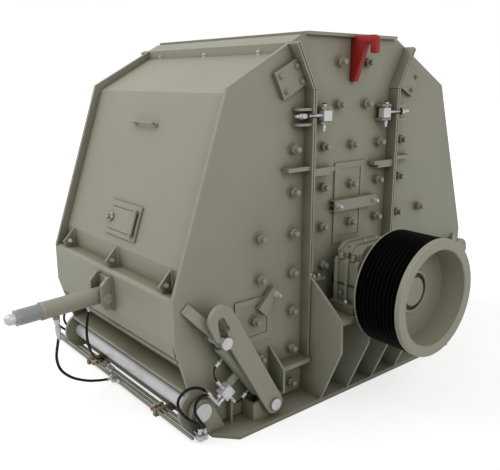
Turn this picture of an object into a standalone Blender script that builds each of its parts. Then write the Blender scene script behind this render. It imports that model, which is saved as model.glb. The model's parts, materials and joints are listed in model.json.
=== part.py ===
"""Impact crusher: a fixed centre section and two housings that hinge open at the base.

Frame: metres, +Z up, z = 0 under the base plate. The rotor lies along X, with its belt pulley
at the near (+X) end. The rear housing is at -Y and the front one at +Y. Each housing part is
worked out for the near front corner, where every number is positive, and mirrored from there.
"""

import math

import bmesh
import bpy
from mathutils import Matrix, Vector

# Gaps between pieces
TOUCH = 0.0003
RUNNING = 0.0004
SEAM_GAP = 0.006

# Base plate and side plates
BASE_THICK = 0.030
SIDE_X = 0.823
SIDE_THICK = 0.025
BASE_HALF_X = SIDE_X + 0.186
BASE_SIDE_Y = 1.090
BASE_END_X = BASE_HALF_X - 0.125
BASE_END_Y = 1.206
DISCHARGE_HALF_X = SIDE_X - 0.103
DISCHARGE_HALF_Y = 0.820

# Outline of the sides, as (distance from the middle, height)
FEED_TOP = 2.400
FEED_CORNER_Y = 0.422
SHOULDER = (1.022, FEED_TOP - 0.326)
WAIST = (1.418, 0.910)
BEAM_FOOT = (1.418, 0.635)
SKIRT = (1.302, 0.241)
SKIRT_CLEARANCE = 0.015

# Seam between the fixed centre and a housing
SEAM_Y = 0.408
SEAM_KINK_Z = FEED_TOP - 0.343
SEAM_TOP_Y = 0.555
STRIP_REACH = 0.079
STRIP_THICK = 0.012
STRIP_FOOT_Z = 0.265

# Feed flange and roof
FLANGE_THICK = 0.020
FLANGE_OVERHANG = 0.027
FEED_HALF_X = SIDE_X - 0.083
FEED_HALF_Y = FEED_CORNER_Y - 0.082
SHEET_THICK = 0.020
ROOF_LIP = 0.070
ROOF_LIP_THICK = 0.012

# Cover between the side plates of a housing
COVER_INSET = 0.050
COVER_FOOT_Z = 1.045

# Beam across the foot of a housing
BEAM_WALL = 0.022
BEAM_EDGE_RADIUS = 0.028
BEAM_TIP = (1.400, 0.545)
SKIRT_PLATE_TOP = (1.386, 0.530)
SKIRT_PLATE_FOOT = (1.190, 0.330)
SKIRT_PLATE_LIP = (1.316, 0.288)
SKIRT_PLATE_THICK = 0.014
SKIRT_RAIL_RADIUS = 0.013
BEAM_LUG_X = (-0.670, 0.000, 0.670)
BEAM_LUG_THICK = 0.014
BEAM_LUG = ((1.418, 0.955), (1.333, 1.045), (1.333, 0.900), (1.385, 0.900))
BEAM_LUG_BOSS = (1.372, 0.958)
BEAM_LUG_BOSS_RADIUS = 0.017
BEAM_LUG_BOSS_HALF = 0.018

# Housing hinge
HINGE = (1.260, 0.180)
HINGE_RADIUS = 0.060
HINGE_HALF_LENGTH = SIDE_X + 0.053
LUG_RADIUS = 0.137
BLOCK_RADIUS = 0.085
BLOCK_THICK = 0.040
BLOCK_FOOT_OUTER = BASE_END_Y - 0.011
BLOCK_FOOT_INNER = BLOCK_FOOT_OUTER - 0.105
MOVING_GAP = 0.006

# Sill behind the hinge shaft
SILL_Y = 1.150
SILL_THICK = 0.018
SILL_TOP = 0.262
SILL_LEDGE = 0.040
SILL_LEDGE_THICK = 0.014
SILL_SIDE_GAP = 0.008

# Base ribs outside the side plates
RIB_Y = 1.050
RIB_THICK = 0.014
RIB_REACH = 0.045
RIB_TOP = 0.200

# Opening cylinder, between its anchor pin on the base and its pin on the housing
ANCHOR_PIN = (0.790, 0.125)
HOUSING_PIN_ANGLE = 85.9
CYLINDER_X = SIDE_X + 0.064
BARREL_RADIUS = 0.050
BARREL_FOOT = 0.110
BARREL_TOP = 0.580
ROD_RADIUS = 0.030
ROD_INSIDE = 0.400
ROD_BORE_DEPTH = 0.416
EYE_RADIUS = 0.036
EYE_HALF_WIDTH = 0.033
PIN_RADIUS = 0.0225
PIN_HEAD_RADIUS = 0.0375
PIN_HEAD_THICK = 0.012
CHEEK_THICK = 0.017
CHEEK_GAP = 0.006
CHEEK_RADIUS = 0.045
ANCHOR_FOOT_HALF = 0.085
ANCHOR_BOX_REACH = 0.139
ANCHOR_BOX_TOP = 0.150
ANCHOR_SCREEN_THICK = 0.014

# Hook arm that props the open housing
ARM_X = SIDE_X + 0.137
ARM_THICK = 0.028
ARM_HALF_WIDTH = 0.065
ARM_OFF_ANGLE = 6.6
ARM_OPEN_ANGLE = 2.4
ARM_HEAD = (0.781, 0.023)
ARM_HEAD_RADIUS = 0.087
ARM_TIP = (0.692, 0.107)
ARM_TIP_RADIUS = 0.012
ARM_POCKET = ((0.706, 0.0225), (0.784, 0.0280))
ARM_POCKET_RADIUS = 0.0175
ARM_CLEARANCE = 0.005
HEAD_CLEARANCE = 0.003
HOUSING_OPEN_DEG = 24.0

# Housing bracket that holds the cylinder's upper pin
BRACKET_LENGTH = 0.245
BRACKET_WIDTH = 0.064
BRACKET_THICK = 0.018
BRACKET_HEEL = 0.030
BRACKET_WEB = 0.014

# Stiffener on the housing side
STIFFENER_Y = 0.706
STIFFENER_THICK = 0.014
STIFFENER_REACH = 0.149
STIFFENER_TOP_Z = 0.445
STIFFENER_SHOULDER_Z = 0.322
STIFFENER_FOOT_Z = 0.164
SHELF_BAR_Z = 0.275
SHELF_BAR_THICK = 0.030
SHELF_BAR_REACH = 0.100

# Pedestal and bearing
SHAFT_Z = 0.813
SHELF_TOP = 0.633
SHELF_THICK = 0.030
SHELF_END_X = SIDE_X + 0.351
GUSSET_THICK = 0.020
GUSSET_OUTER_Y = 0.395
GUSSET_INNER_Y = 0.130
GUSSET_KNEE = (SHELF_END_X + 0.006, 0.419)
GUSSET_TOP = (SIDE_X + 0.105, 0.833)
GUSSET_WALL_Z = 0.900
BEARING_START_X = SIDE_X + 0.137
BEARING_END_X = BEARING_START_X + 0.180
BEARING_RADIUS = 0.165
BEARING_FOOT_HALF = 0.270
BEARING_FOOT_HEIGHT = 0.062
BEARING_SPLIT = 0.004
BEARING_EAR_HALF = 0.215
BEARING_EAR_HEIGHT = 0.045
BEARING_COLLAR_RADIUS = 0.120
BEARING_COLLAR = 0.018

# Rotor, shaft and pulley
SHAFT_RADIUS = 0.080
SHAFT_FAR_X = -SIDE_X - 0.377
ROTOR_HALF_X = SIDE_X - 0.088
ROTOR_DRUM_RADIUS = 0.400
ROTOR_TIP_RADIUS = 0.550
BLOW_BARS = 4
BLOW_BAR_THICK = 0.070
SIDE_SHAFT_HOLE = 0.130
PULLEY_RADIUS = 0.373
PULLEY_START_X = SIDE_X + 0.417
PULLEY_END_X = PULLEY_START_X + 0.344
PULLEY_GROOVES = 10
PULLEY_GROOVE_DEPTH = 0.019
PULLEY_BACK_RIM = 0.012
PULLEY_FRONT_RING = 0.034
PULLEY_RIM_RADIUS = PULLEY_RADIUS - 0.068
PULLEY_WEB_X = PULLEY_START_X + 0.160
PULLEY_WEB_THICK = 0.030
PULLEY_HUB_RADIUS = 0.130
PULLEY_HUB_END_X = PULLEY_WEB_X + 0.070
PULLEY_CAP_RADIUS = 0.100
PULLEY_CAP_END_X = PULLEY_HUB_END_X + 0.020

# Door, clevises and bars on the centre plates; distances along the machine, then heights
CENTRE_DOOR_RING = ((-0.137, 0.156), (1.030, 1.580))
CENTRE_DOOR_LEAF = ((-0.095, 0.120), (1.070, 1.543))
PANEL_RING_HEIGHT = 0.010
PANEL_LEAF_HEIGHT = 0.005
CLAMP_BAR_Y = (-0.176, 0.241)
CLAMP_BAR_Z = (1.263, 1.337)
CLAMP_BAR_REACH = 0.055
CLAMP_BAR_WEB = 0.010
CLAMP_BAR_FLANGE = 0.008
CLAMP_STUD_Y = (-0.150, 0.215)
STUD_RADIUS = 0.011
STUD_REACH = 0.095
SWING_BOLT_Z = FEED_TOP - 0.500
SWING_SLOT_HALF = 0.014
SWING_SLOT_START = 0.022
SWING_PLATE_HALF_GAP = (0.038, 0.054)
SWING_PLATE_REACH = 0.070
CENTRE_CLEVIS_Y = (0.250, 0.340)
HOUSING_CLEVIS_END_Y = 0.530
HOUSING_CLEVIS_ROUND = 0.040
LOCATING_Z = FEED_TOP - 0.835
LOCATING_THICK = 0.025
LOCATING_REACH = 0.065
HOUSING_BAR_END_Y = 0.609
CENTRE_BAR_START_Y = 0.200
CENTRE_LIP_START_Y = 0.240
SMALL_PLATE_Y = (0.250, 0.360)
SMALL_PLATE_Z = (0.817, 0.835)
SMALL_PLATE_REACH = 0.060

# Inspection hatch on each housing side
HATCH_RING = ((0.678, 0.984), (0.500, 0.795))
HATCH_LEAF = ((0.727, 0.936), (0.545, 0.753))
HATCH_CLAMP = ((0.702, 0.853), (0.666, 0.833), (0.758, 0.670), (0.822, 0.730))
HATCH_CLAMP_X = (0.008, 0.045)
HATCH_STUD = (0.687, 0.806)

# Lifting hook
LIFT_HALF_THICK = 0.020
LIFT_TOP_Z = FEED_TOP - 0.012
LIFT_FOOT_Z = LIFT_TOP_Z - 0.284
LIFT_REACH_X = SIDE_X + 0.207
LIFT_FINGER_Z = LIFT_TOP_Z - 0.111
LIFT_THROAT_Z = LIFT_TOP_Z - 0.049
LIFT_THROAT_X = SIDE_X + 0.139
LIFT_THROAT_RADIUS = 0.020
LIFT_FOOT_WIDTH = 0.040

# Spring plates on the upper corners of the housing sides
SQUARE_PLATE_CENTRE = (0.566, FEED_TOP - 0.279)
SQUARE_PLATE_LENGTH = 0.205
SQUARE_PLATE_WIDTH = 0.172
SQUARE_PLATE_THICK = 0.030
SQUARE_PLATE_ANGLE = 153.0

# Adjuster on the beam
ADJUSTER_Z = 0.735
ADJUSTER_TILT = 2.5
ADJUSTER_BOX_HALF_X = 0.100
ADJUSTER_BOX_Z = (0.655, 0.850)
ADJUSTER_BOX_DEPTH = 0.080
ADJUSTER_BOX_CHAMFER = 0.026
ADJUSTER_CHEEK = 0.034
ADJUSTER_PLATE_MARGIN = 0.010
ADJUSTER_KNUCKLE_RADIUS = 0.024
ADJUSTER_RADIUS = 0.057
ADJUSTER_TUBE_END_Y = 1.875
SPINDLE_RADIUS = 0.051
SPINDLE_END_Y = 2.030
TIP_RADIUS = 0.035
TIP_END_Y = 2.092
SPINDLE_INSIDE = 0.180
SPINDLE_TRAVEL = 0.120
ADJUSTER_PIN_RADIUS = 0.030
PORT_Y = 1.775
PORT_RADIUS = 0.020
PORT_FOOT_Z = 0.655
FITTING_FOOT_Z = 0.545

# Inspection door in the sloping panel; distances run down the panel from its top bend
DOOR_FRAME_HALF_X = 0.203
DOOR_FRAME_TOP = 0.758
DOOR_FRAME_FOOT = 0.989
DOOR_FRAME_HEIGHT = 0.012
DOOR_X = (-0.170, 0.147)
DOOR_TOP = 0.803
DOOR_FOOT = 0.951
DOOR_THICK = 0.020
DOOR_CLEARANCE = 0.005
DOOR_HOLE_MARGIN = 0.022
DOOR_HINGE_X = 0.164
DOOR_HINGE_HEIGHT = 0.026
DOOR_PIN_RADIUS = 0.007
DOOR_LUG_THICK = 0.014
KNOB_RADIUS = 0.020
KNOB_HEIGHT = 0.034
HANDLE_X = (-0.150, 0.110)
HANDLE_DOWN = 0.220
HANDLE_HEIGHT = 0.040
HANDLE_RADIUS = 0.007

# Apron hung inside each housing
APRON_HALF_X = SIDE_X - 0.063
APRON_THICK = 0.045
APRON_PIVOT_Y = 0.840
APRON_PIVOT_RADIUS = 0.055
APRON_POINTS = ((0.800, 0.816), (0.640, 0.531), (0.660, 0.214), (0.800, 0.039))
APRON_PIVOT_SHARE = 0.784

# Pipes and hoses along the rear foot
PIPE_RADIUS = 0.011
PIPE_ROWS = (BASE_END_Y + 0.062, BASE_END_Y + 0.094, BASE_END_Y + 0.126)
PIPE_Z = 0.020
PIPE_X = (-SIDE_X - 0.337, SIDE_X + 0.037)
PIPE_BAR_X = (-0.550, 0.430)
PIPE_BAR_THICK = 0.030
PIPE_BAR_HEIGHT = 0.044
PIPE_BAR_START_Y = BASE_END_Y + TOUCH
PIPE_BAR_END_Y = BASE_END_Y + 0.146
PIPE_END_BLOCK_X = (SIDE_X + 0.035, SIDE_X + 0.079)
PIPE_END_BLOCK_Y = (-1.312, -1.250)
PIPE_END_BLOCK_Z = (0.018, 0.048)
FAR_END_BLOCK_X = (-SIDE_X - 0.238, -SIDE_X - 0.185)
BEAM_FITTING_LENGTH = 0.040
HOSE_SOCKET_TOP = 0.062

# Valve block on each rear cylinder, outside the hinge shaft's end; distances run along the
# barrel and out from its line
VALVE_ALONG = (0.290, 0.366)
VALVE_OUT = (0.131, 0.205)
VALVE_HALF_X = 0.027
VALVE_X = HINGE_HALF_LENGTH + MOVING_GAP + VALVE_HALF_X
VALVE_STRAP_ALONG = (0.302, 0.354)
VALVE_STRAP_HALF_X = 0.008
VALVE_PORT_OUT = 0.168
VALVE_PORT_ENDS = (0.246, 0.410)
VALVE_PORT_RADIUS = 0.008
VALVE_ELBOW_OUT = 0.255
VALVE_ELBOW_ALONG = (0.312, 0.420)
VALVE_ELBOW_X = (-0.0125, 0.0125)
BARREL_PORTS = (0.163, 0.500)
BARREL_PORT_OUT = 0.080
BARREL_PORT_RADIUS = 0.009

# Hoses: radius and the points that each one passes through
MAIN_HOSE_RADIUS = 0.009
SHORT_HOSE_RADIUS = 0.005
HOSE_STRAIGHT = 0.010
FITTING_ROUTE = (
    (0.000, -1.7667, 0.5311),
    (-0.001, -1.7790, 0.4650),
    (-0.004, -1.7910, 0.3750),
    (-0.016, -1.7640, 0.2800),
    (-0.035, -1.6850, 0.1930),
    (-0.064, -1.5680, 0.1200),
    (-0.096, -1.4620, 0.0750),
    (-0.119, -1.4030, 0.0530),
    (-0.120, -1.3640, 0.0500),
)
BEAM_ROUTE = (
    (0.0000, -1.5540, 0.6728),
    (-0.0060, -1.5620, 0.6000),
    (-0.0220, -1.5680, 0.5000),
    (-0.0378, -1.5580, 0.4120),
    (-0.0682, -1.5350, 0.3504),
    (-0.1274, -1.4950, 0.2759),
    (-0.2042, -1.4400, 0.2006),
    (-0.2900, -1.3800, 0.1410),
    (-0.3450, -1.3280, 0.1090),
    (-0.3720, -1.3020, 0.0850),
    (-0.3560, -1.2840, 0.0680),
)
UPPER_LOOP_ROUTE = (
    (0.8965, -1.2438, 0.3137),
    (0.9000, -1.2580, 0.3330),
    (0.9040, -1.3141, 0.3770),
    (0.9050, -1.3916, 0.3908),
    (0.9040, -1.4482, 0.3561),
    (0.9020, -1.4535, 0.2973),
    (0.8990, -1.4137, 0.2286),
    (0.8950, -1.3570, 0.1700),
    (0.8880, -1.3110, 0.1250),
    (0.8825, -1.2970, 0.0920),
    (0.8820, -1.2960, 0.0625),
)
LOWER_LOOP_ROUTE = (
    (0.9215, -1.2438, 0.3137),
    (0.9225, -1.2550, 0.3230),
    (0.9230, -1.3062, 0.3270),
    (0.9210, -1.3470, 0.2929),
    (0.9170, -1.3503, 0.2381),
    (0.9110, -1.3200, 0.1759),
    (0.9000, -1.2800, 0.1196),
    (0.8925, -1.2655, 0.0900),
    (0.8910, -1.2650, 0.0625),
)

FAR_UPPER_ROUTE = (
    (-0.8965, -1.2438, 0.3137),
    (-0.9030, -1.2580, 0.3330),
    (-0.9220, -1.3141, 0.3700),
    (-0.9420, -1.3850, 0.3650),
    (-0.9600, -1.4250, 0.3100),
    (-0.9850, -1.4100, 0.2300),
    (-1.0200, -1.3500, 0.1500),
    (-1.0420, -1.3000, 0.1000),
    (-1.0430, -1.2940, 0.0625),
)
FAR_LOWER_ROUTE = (
    (-0.9215, -1.2438, 0.3137),
    (-0.9260, -1.2550, 0.3230),
    (-0.9400, -1.3000, 0.3250),
    (-0.9550, -1.3350, 0.2850),
    (-0.9780, -1.3350, 0.2200),
    (-1.0060, -1.3000, 0.1500),
    (-1.0250, -1.2680, 0.0980),
    (-1.0260, -1.2640, 0.0625),
)

# The far end of the shaft and the near face of the pulley bound the length along X
SHIFT_X = -(PULLEY_END_X + SHAFT_FAR_X) / 2.0

# Colours and surfaces
FINISHES = {
    "body_paint": ((0.275, 0.262, 0.205), 0.45, 0.0),
    "hook_red": ((0.270, 0.008, 0.006), 0.40, 0.0),
    "bright_steel": ((0.520, 0.520, 0.520), 0.25, 1.0),
    "thread_steel": ((0.260, 0.260, 0.270), 0.40, 0.8),
    "rotor_steel": ((0.120, 0.115, 0.105), 0.50, 0.8),
    "hose_rubber": ((0.010, 0.010, 0.010), 0.60, 0.0),
}

ROUND_SIDES = 24
PIN_SIDES = 16
PULLEY_SIDES = 36
AXES = {"x": (1, 2, 0), "y": (0, 2, 1), "z": (0, 1, 2)}


def finish(name):
    """The material of that name, made once."""
    material = bpy.data.materials.get(name)
    if material is None:
        colour, roughness, metallic = FINISHES[name]
        material = bpy.data.materials.new(name)
        material.use_nodes = True
        shader = material.node_tree.nodes["Principled BSDF"]
        shader.inputs["Base Color"].default_value = (*colour, 1.0)
        shader.inputs["Roughness"].default_value = roughness
        shader.inputs["Metallic"].default_value = metallic
        material.diffuse_color = (*colour, 1.0)
    return material


def place(values, axis, along):
    """A point of an outline drawn across an axis, at one distance along it."""
    first, second, third = AXES[axis]
    point = [0.0, 0.0, 0.0]
    point[first] = values[0]
    point[second] = values[1]
    point[third] = along
    return point


def prism(outline, axis, start, end):
    """An outline pushed along an axis into a closed solid."""
    shape = bmesh.new()
    ring = [shape.verts.new(place(values, axis, start)) for values in outline]
    face = shape.faces.new(ring)
    pushed = bmesh.ops.extrude_face_region(shape, geom=[face])
    moved = [item for item in pushed["geom"] if isinstance(item, bmesh.types.BMVert)]
    bmesh.ops.translate(shape, verts=moved, vec=place((0.0, 0.0), axis, end - start))
    bmesh.ops.recalc_face_normals(shape, faces=shape.faces)
    return shape


def box(x_range, y_range, z_range):
    """A plain block."""
    outline = [
        (x_range[0], y_range[0]),
        (x_range[1], y_range[0]),
        (x_range[1], y_range[1]),
        (x_range[0], y_range[1]),
    ]
    return prism(outline, "z", z_range[0], z_range[1])


def arc(centre, radius, start_deg, end_deg, steps):
    """Points on a circle from one angle to another, both ends included."""
    points = []
    for step in range(steps + 1):
        angle = math.radians(start_deg + (end_deg - start_deg) * step / steps)
        points.append((centre[0] + radius * math.cos(angle), centre[1] + radius * math.sin(angle)))
    return points


def circle(centre, radius, sides=ROUND_SIDES):
    """A closed round outline."""
    return arc(centre, radius, 0.0, 360.0 * (sides - 1) / sides, sides - 1)


def rod(centre, axis, radius, start, end, sides=ROUND_SIDES):
    """A round bar along an axis."""
    return prism(circle(centre, radius, sides), axis, start, end)


def bore(radius, sides=ROUND_SIDES):
    """The radius of a hole in which a round bar turns freely."""
    return (radius + RUNNING) / math.cos(math.pi / sides)


def turned(profile, centre, sides=ROUND_SIDES):
    """A closed ring of (x, radius) points turned about a line along X."""
    shape = bmesh.new()
    ring = [shape.verts.new((x, centre[0], centre[1] + radius)) for x, radius in profile]
    edges = [shape.edges.new((a, b)) for a, b in zip(ring, ring[1:] + ring[:1])]
    bmesh.ops.spin(
        shape,
        geom=ring + edges,
        cent=(0.0, centre[0], centre[1]),
        axis=(1.0, 0.0, 0.0),
        angle=math.tau,
        steps=sides,
        use_merge=True,
    )
    bmesh.ops.remove_doubles(shape, verts=shape.verts, dist=1e-6)
    bmesh.ops.recalc_face_normals(shape, faces=shape.faces)
    return shape


def crossing(a, b, c, d):
    """Where the line through a and b meets the line through c and d."""
    ab = (b[0] - a[0], b[1] - a[1])
    cd = (d[0] - c[0], d[1] - c[1])
    across = ab[0] * cd[1] - ab[1] * cd[0]
    share = ((c[0] - a[0]) * cd[1] - (c[1] - a[1]) * cd[0]) / across
    return (a[0] + ab[0] * share, a[1] + ab[1] * share)


def beside(points, distance):
    """A line of points moved sideways by a distance, to the left of its run if positive."""
    runs = []
    for a, b in zip(points, points[1:]):
        length = math.dist(a, b)
        side = (-(b[1] - a[1]) / length * distance, (b[0] - a[0]) / length * distance)
        runs.append(((a[0] + side[0], a[1] + side[1]), (b[0] + side[0], b[1] + side[1])))
    moved = [runs[0][0]]
    for first, second in zip(runs, runs[1:]):
        moved.append(crossing(*first, *second))
    moved.append(runs[-1][1])
    return moved


def bent_sheet(points, thickness):
    """The outline of a sheet that follows a line, with its thickness to the left."""
    return points + beside(points, thickness)[::-1]


def height_on(a, b, y):
    """The height at one distance of the line through a and b."""
    return a[1] + (b[1] - a[1]) * (y - a[0]) / (b[0] - a[0])


def meets_circle(a, b, centre, radius):
    """The angle, in degrees, at which the run from a to b first meets a circle."""
    steps = 2000
    for step in range(steps):
        share = step / steps
        point = (a[0] + (b[0] - a[0]) * share, a[1] + (b[1] - a[1]) * share)
        if math.dist(point, centre) <= radius:
            return math.degrees(math.atan2(point[1] - centre[1], point[0] - centre[0]))
    raise ValueError("the run does not reach the circle")


def turn_about(shape, pivot, degrees, axis="x"):
    """Turn a shape about a line along an axis through a (y, z) pivot."""
    middle = Vector((0.0, pivot[0], pivot[1]))
    turn = Matrix.Rotation(math.radians(degrees), 4, axis.upper())
    matrix = Matrix.Translation(middle) @ turn @ Matrix.Translation(-middle)
    bmesh.ops.transform(shape, matrix=matrix, verts=shape.verts)
    return shape


def lay_on(shape, origin, run, out):
    """Move a shape drawn in x, distance down and height up onto a sloping face."""
    matrix = Matrix(
        (
            (1.0, 0.0, 0.0, 0.0),
            (0.0, run[0], out[0], origin[0]),
            (0.0, run[1], out[1], origin[1]),
            (0.0, 0.0, 0.0, 1.0),
        )
    )
    bmesh.ops.transform(shape, matrix=matrix, verts=shape.verts)
    bmesh.ops.recalc_face_normals(shape, faces=shape.faces)
    return shape


def to_object(name, shape):
    """A mesh object made from a bmesh, which is used up."""
    mesh = bpy.data.meshes.new(name)
    shape.to_mesh(mesh)
    shape.free()
    made = bpy.data.objects.new(name, mesh)
    bpy.context.scene.collection.objects.link(made)
    return made


def joined(name, shapes, cuts=()):
    """One mesh from solids that cross each other, less the cutters."""
    body = to_object(name, shapes[0])
    spare = []
    for operation, group in (("UNION", shapes[1:]), ("DIFFERENCE", list(cuts))):
        if not group:
            continue
        tools = bpy.data.collections.new(f"{name}_{operation.lower()}")
        bpy.context.scene.collection.children.link(tools)
        for shape in group:
            tool = to_object(f"{name}_tool", shape)
            bpy.context.scene.collection.objects.unlink(tool)
            tools.objects.link(tool)
            spare.append(tool)
        step = body.modifiers.new(operation, "BOOLEAN")
        step.operation = operation
        step.operand_type = "COLLECTION"
        step.collection = tools
        step.solver = "EXACT"
    bpy.context.view_layer.update()
    graph = bpy.context.evaluated_depsgraph_get()
    mesh = bpy.data.meshes.new_from_object(body.evaluated_get(graph))
    for used in [body, *spare]:
        bpy.data.objects.remove(used)
    for group in [c for c in bpy.data.collections if c.name.startswith(f"{name}_")]:
        bpy.data.collections.remove(group)
    clean = bmesh.new()
    clean.from_mesh(mesh)
    bmesh.ops.remove_doubles(clean, verts=clean.verts, dist=1e-5)
    bmesh.ops.dissolve_degenerate(clean, edges=clean.edges, dist=1e-5)
    clean.to_mesh(mesh)
    clean.free()
    return mesh


def add_part(name, mesh, surface, pivot=(0.0, 0.0, 0.0), signs=(1, 1), smooth=True):
    """Place one piece, mirrored over X or Y where its sign is negative."""
    own = mesh.copy()
    own.name = name
    mirror = Matrix.Diagonal((signs[0], signs[1], 1.0, 1.0))
    own.transform(mirror)
    if signs[0] * signs[1] < 0:
        own.flip_normals()
    centre = mirror.to_3x3() @ Vector(pivot)
    own.transform(Matrix.Translation(-centre))
    own.materials.clear()
    own.materials.append(finish(surface))
    if smooth:
        own.shade_smooth()
        own.set_sharp_from_angle(angle=math.radians(30.0))
    piece = bpy.data.objects.new(name, own)
    piece.location = centre
    piece.parent = bpy.data.objects["machine"]
    bpy.context.scene.collection.objects.link(piece)
    return piece


# Lines of the side outline that several parts share
TOP_CORNER = (FEED_CORNER_Y, FEED_TOP)
FLANGE_FOOT = FEED_TOP - FLANGE_THICK
SEAM_TOP = (SEAM_TOP_Y, height_on(TOP_CORNER, SHOULDER, SEAM_TOP_Y))
SEAM_LINE = [(SEAM_Y, BASE_THICK), (SEAM_Y, SEAM_KINK_Z), SEAM_TOP]
INNER_X = SIDE_X - SIDE_THICK
HOUSING_PIN = (
    HINGE[0] + math.dist(HINGE, ANCHOR_PIN) * math.cos(
        math.atan2(ANCHOR_PIN[1] - HINGE[1], ANCHOR_PIN[0] - HINGE[0]) - math.radians(HOUSING_PIN_ANGLE)
    ),
    HINGE[1] + math.dist(HINGE, ANCHOR_PIN) * math.sin(
        math.atan2(ANCHOR_PIN[1] - HINGE[1], ANCHOR_PIN[0] - HINGE[0]) - math.radians(HOUSING_PIN_ANGLE)
    ),
)
CYLINDER_ANGLE = math.degrees(
    math.atan2(HOUSING_PIN[1] - ANCHOR_PIN[1], HOUSING_PIN[0] - ANCHOR_PIN[0])
)
CYLINDER_LENGTH = math.dist(HOUSING_PIN, ANCHOR_PIN)


def seam_side(offset):
    """The seam's line moved towards the housing, ending on the roof's slope."""
    moved = beside(SEAM_LINE, -offset)
    moved[-1] = crossing(moved[-2], moved[-1], TOP_CORNER, SHOULDER)
    return moved


def framed_panel(ring, leaf):
    """A raised ring round a thinner leaf on the outside of a side plate."""
    root = SIDE_X - SIDE_THICK / 2.0
    (low_y, high_y), (low_z, high_z) = ring
    (leaf_low_y, leaf_high_y), (leaf_low_z, leaf_high_z) = leaf
    height = (root, SIDE_X + PANEL_RING_HEIGHT)
    return [
        box(height, (low_y, high_y), (low_z, leaf_low_z)),
        box(height, (low_y, high_y), (leaf_high_z, high_z)),
        box(height, (low_y, leaf_low_y), (low_z, high_z)),
        box(height, (leaf_high_y, high_y), (low_z, high_z)),
        box((root, SIDE_X + PANEL_LEAF_HEIGHT), (low_y + 0.01, high_y - 0.01), (low_z + 0.01, high_z - 0.01)),
    ]


def flipped(shape):
    """The same shape at the other end of the machine."""
    bmesh.ops.transform(shape, matrix=Matrix.Diagonal((1.0, -1.0, 1.0, 1.0)), verts=shape.verts)
    bmesh.ops.recalc_face_normals(shape, faces=shape.faces)
    return shape


def swing_slot(low_y, high_y):
    """The open slot that a seam's swing bolt lies in."""
    return box(
        (SIDE_X + SWING_SLOT_START, SIDE_X + 2.0 * STRIP_REACH),
        (low_y, high_y),
        (SWING_BOLT_Z - SWING_SLOT_HALF, SWING_BOLT_Z + SWING_SLOT_HALF),
    )


def centre_details():
    """The door with its clamp bar, and the bars and clevises near both seams."""
    root = SIDE_X - SIDE_THICK / 2.0
    shapes = framed_panel(CENTRE_DOOR_RING, CENTRE_DOOR_LEAF)
    low, high = CLAMP_BAR_Z
    reach = SIDE_X + CLAMP_BAR_REACH
    shapes.append(box((reach - CLAMP_BAR_WEB, reach), CLAMP_BAR_Y, CLAMP_BAR_Z))
    shapes.append(box((root, reach), CLAMP_BAR_Y, (low, low + CLAMP_BAR_FLANGE)))
    shapes.append(box((root, reach), CLAMP_BAR_Y, (high - CLAMP_BAR_FLANGE, high)))
    for y in CLAMP_STUD_Y:
        shapes.append(rod((y, (low + high) / 2.0), "x", STUD_RADIUS, root, SIDE_X + STUD_REACH, 12))
    for end in (1, -1):
        near_gap, far_gap = SWING_PLATE_HALF_GAP
        strip_y = SEAM_Y - SEAM_GAP
        group = [
            box((root, SIDE_X + SWING_PLATE_REACH), CENTRE_CLEVIS_Y, (SWING_BOLT_Z + near_gap, SWING_BOLT_Z + far_gap)),
            box((root, SIDE_X + SWING_PLATE_REACH), CENTRE_CLEVIS_Y, (SWING_BOLT_Z - far_gap, SWING_BOLT_Z - near_gap)),
            box(
                (root, SIDE_X + LOCATING_REACH),
                (CENTRE_BAR_START_Y, strip_y - STRIP_THICK / 2.0),
                (LOCATING_Z - LOCATING_THICK * 0.8, LOCATING_Z + LOCATING_THICK * 0.2),
            ),
            box(
                (root, SIDE_X + LOCATING_REACH),
                (CENTRE_LIP_START_Y, strip_y - STRIP_THICK / 2.0),
                (LOCATING_Z - LOCATING_THICK * 1.7, LOCATING_Z - LOCATING_THICK * 0.7),
            ),
            box((root, SIDE_X + SMALL_PLATE_REACH), SMALL_PLATE_Y, SMALL_PLATE_Z),
        ]
        shapes += group if end > 0 else [flipped(shape) for shape in group]
    cuts = [swing_slot(SEAM_Y - SEAM_GAP - 2.0 * STRIP_THICK, SEAM_Y)]
    cuts.append(flipped(swing_slot(SEAM_Y - SEAM_GAP - 2.0 * STRIP_THICK, SEAM_Y)))
    return shapes, cuts


def housing_details():
    """The hatch with its clamp, the seam's clevis plates and the locating bar."""
    root = SIDE_X - SIDE_THICK / 2.0
    strip_y = SEAM_Y + SEAM_GAP
    shapes = framed_panel(HATCH_RING, HATCH_LEAF)
    shapes.append(prism(list(HATCH_CLAMP), "x", SIDE_X + HATCH_CLAMP_X[0], SIDE_X + HATCH_CLAMP_X[1]))
    shapes.append(rod(HATCH_STUD, "x", STUD_RADIUS, root, SIDE_X + STUD_REACH, 12))
    corner = (SIDE_X + SWING_PLATE_REACH - HOUSING_CLEVIS_ROUND, HOUSING_CLEVIS_END_Y - HOUSING_CLEVIS_ROUND)
    plate = [(root, strip_y), (SIDE_X + SWING_PLATE_REACH, strip_y)]
    plate += arc(corner, HOUSING_CLEVIS_ROUND, 0.0, 90.0, 5) + [(root, HOUSING_CLEVIS_END_Y)]
    near_gap, far_gap = SWING_PLATE_HALF_GAP
    shapes.append(prism(plate, "z", SWING_BOLT_Z + near_gap - 0.006, SWING_BOLT_Z + far_gap - 0.006))
    shapes.append(prism(plate, "z", SWING_BOLT_Z - far_gap - 0.006, SWING_BOLT_Z - near_gap - 0.006))
    shapes.append(
        box((root, SIDE_X + LOCATING_REACH), (strip_y, HOUSING_BAR_END_Y), (LOCATING_Z, LOCATING_Z + LOCATING_THICK))
    )
    cuts = [swing_slot(SEAM_Y, SEAM_Y + SEAM_GAP + 2.0 * STRIP_THICK)]
    return shapes, cuts


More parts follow.
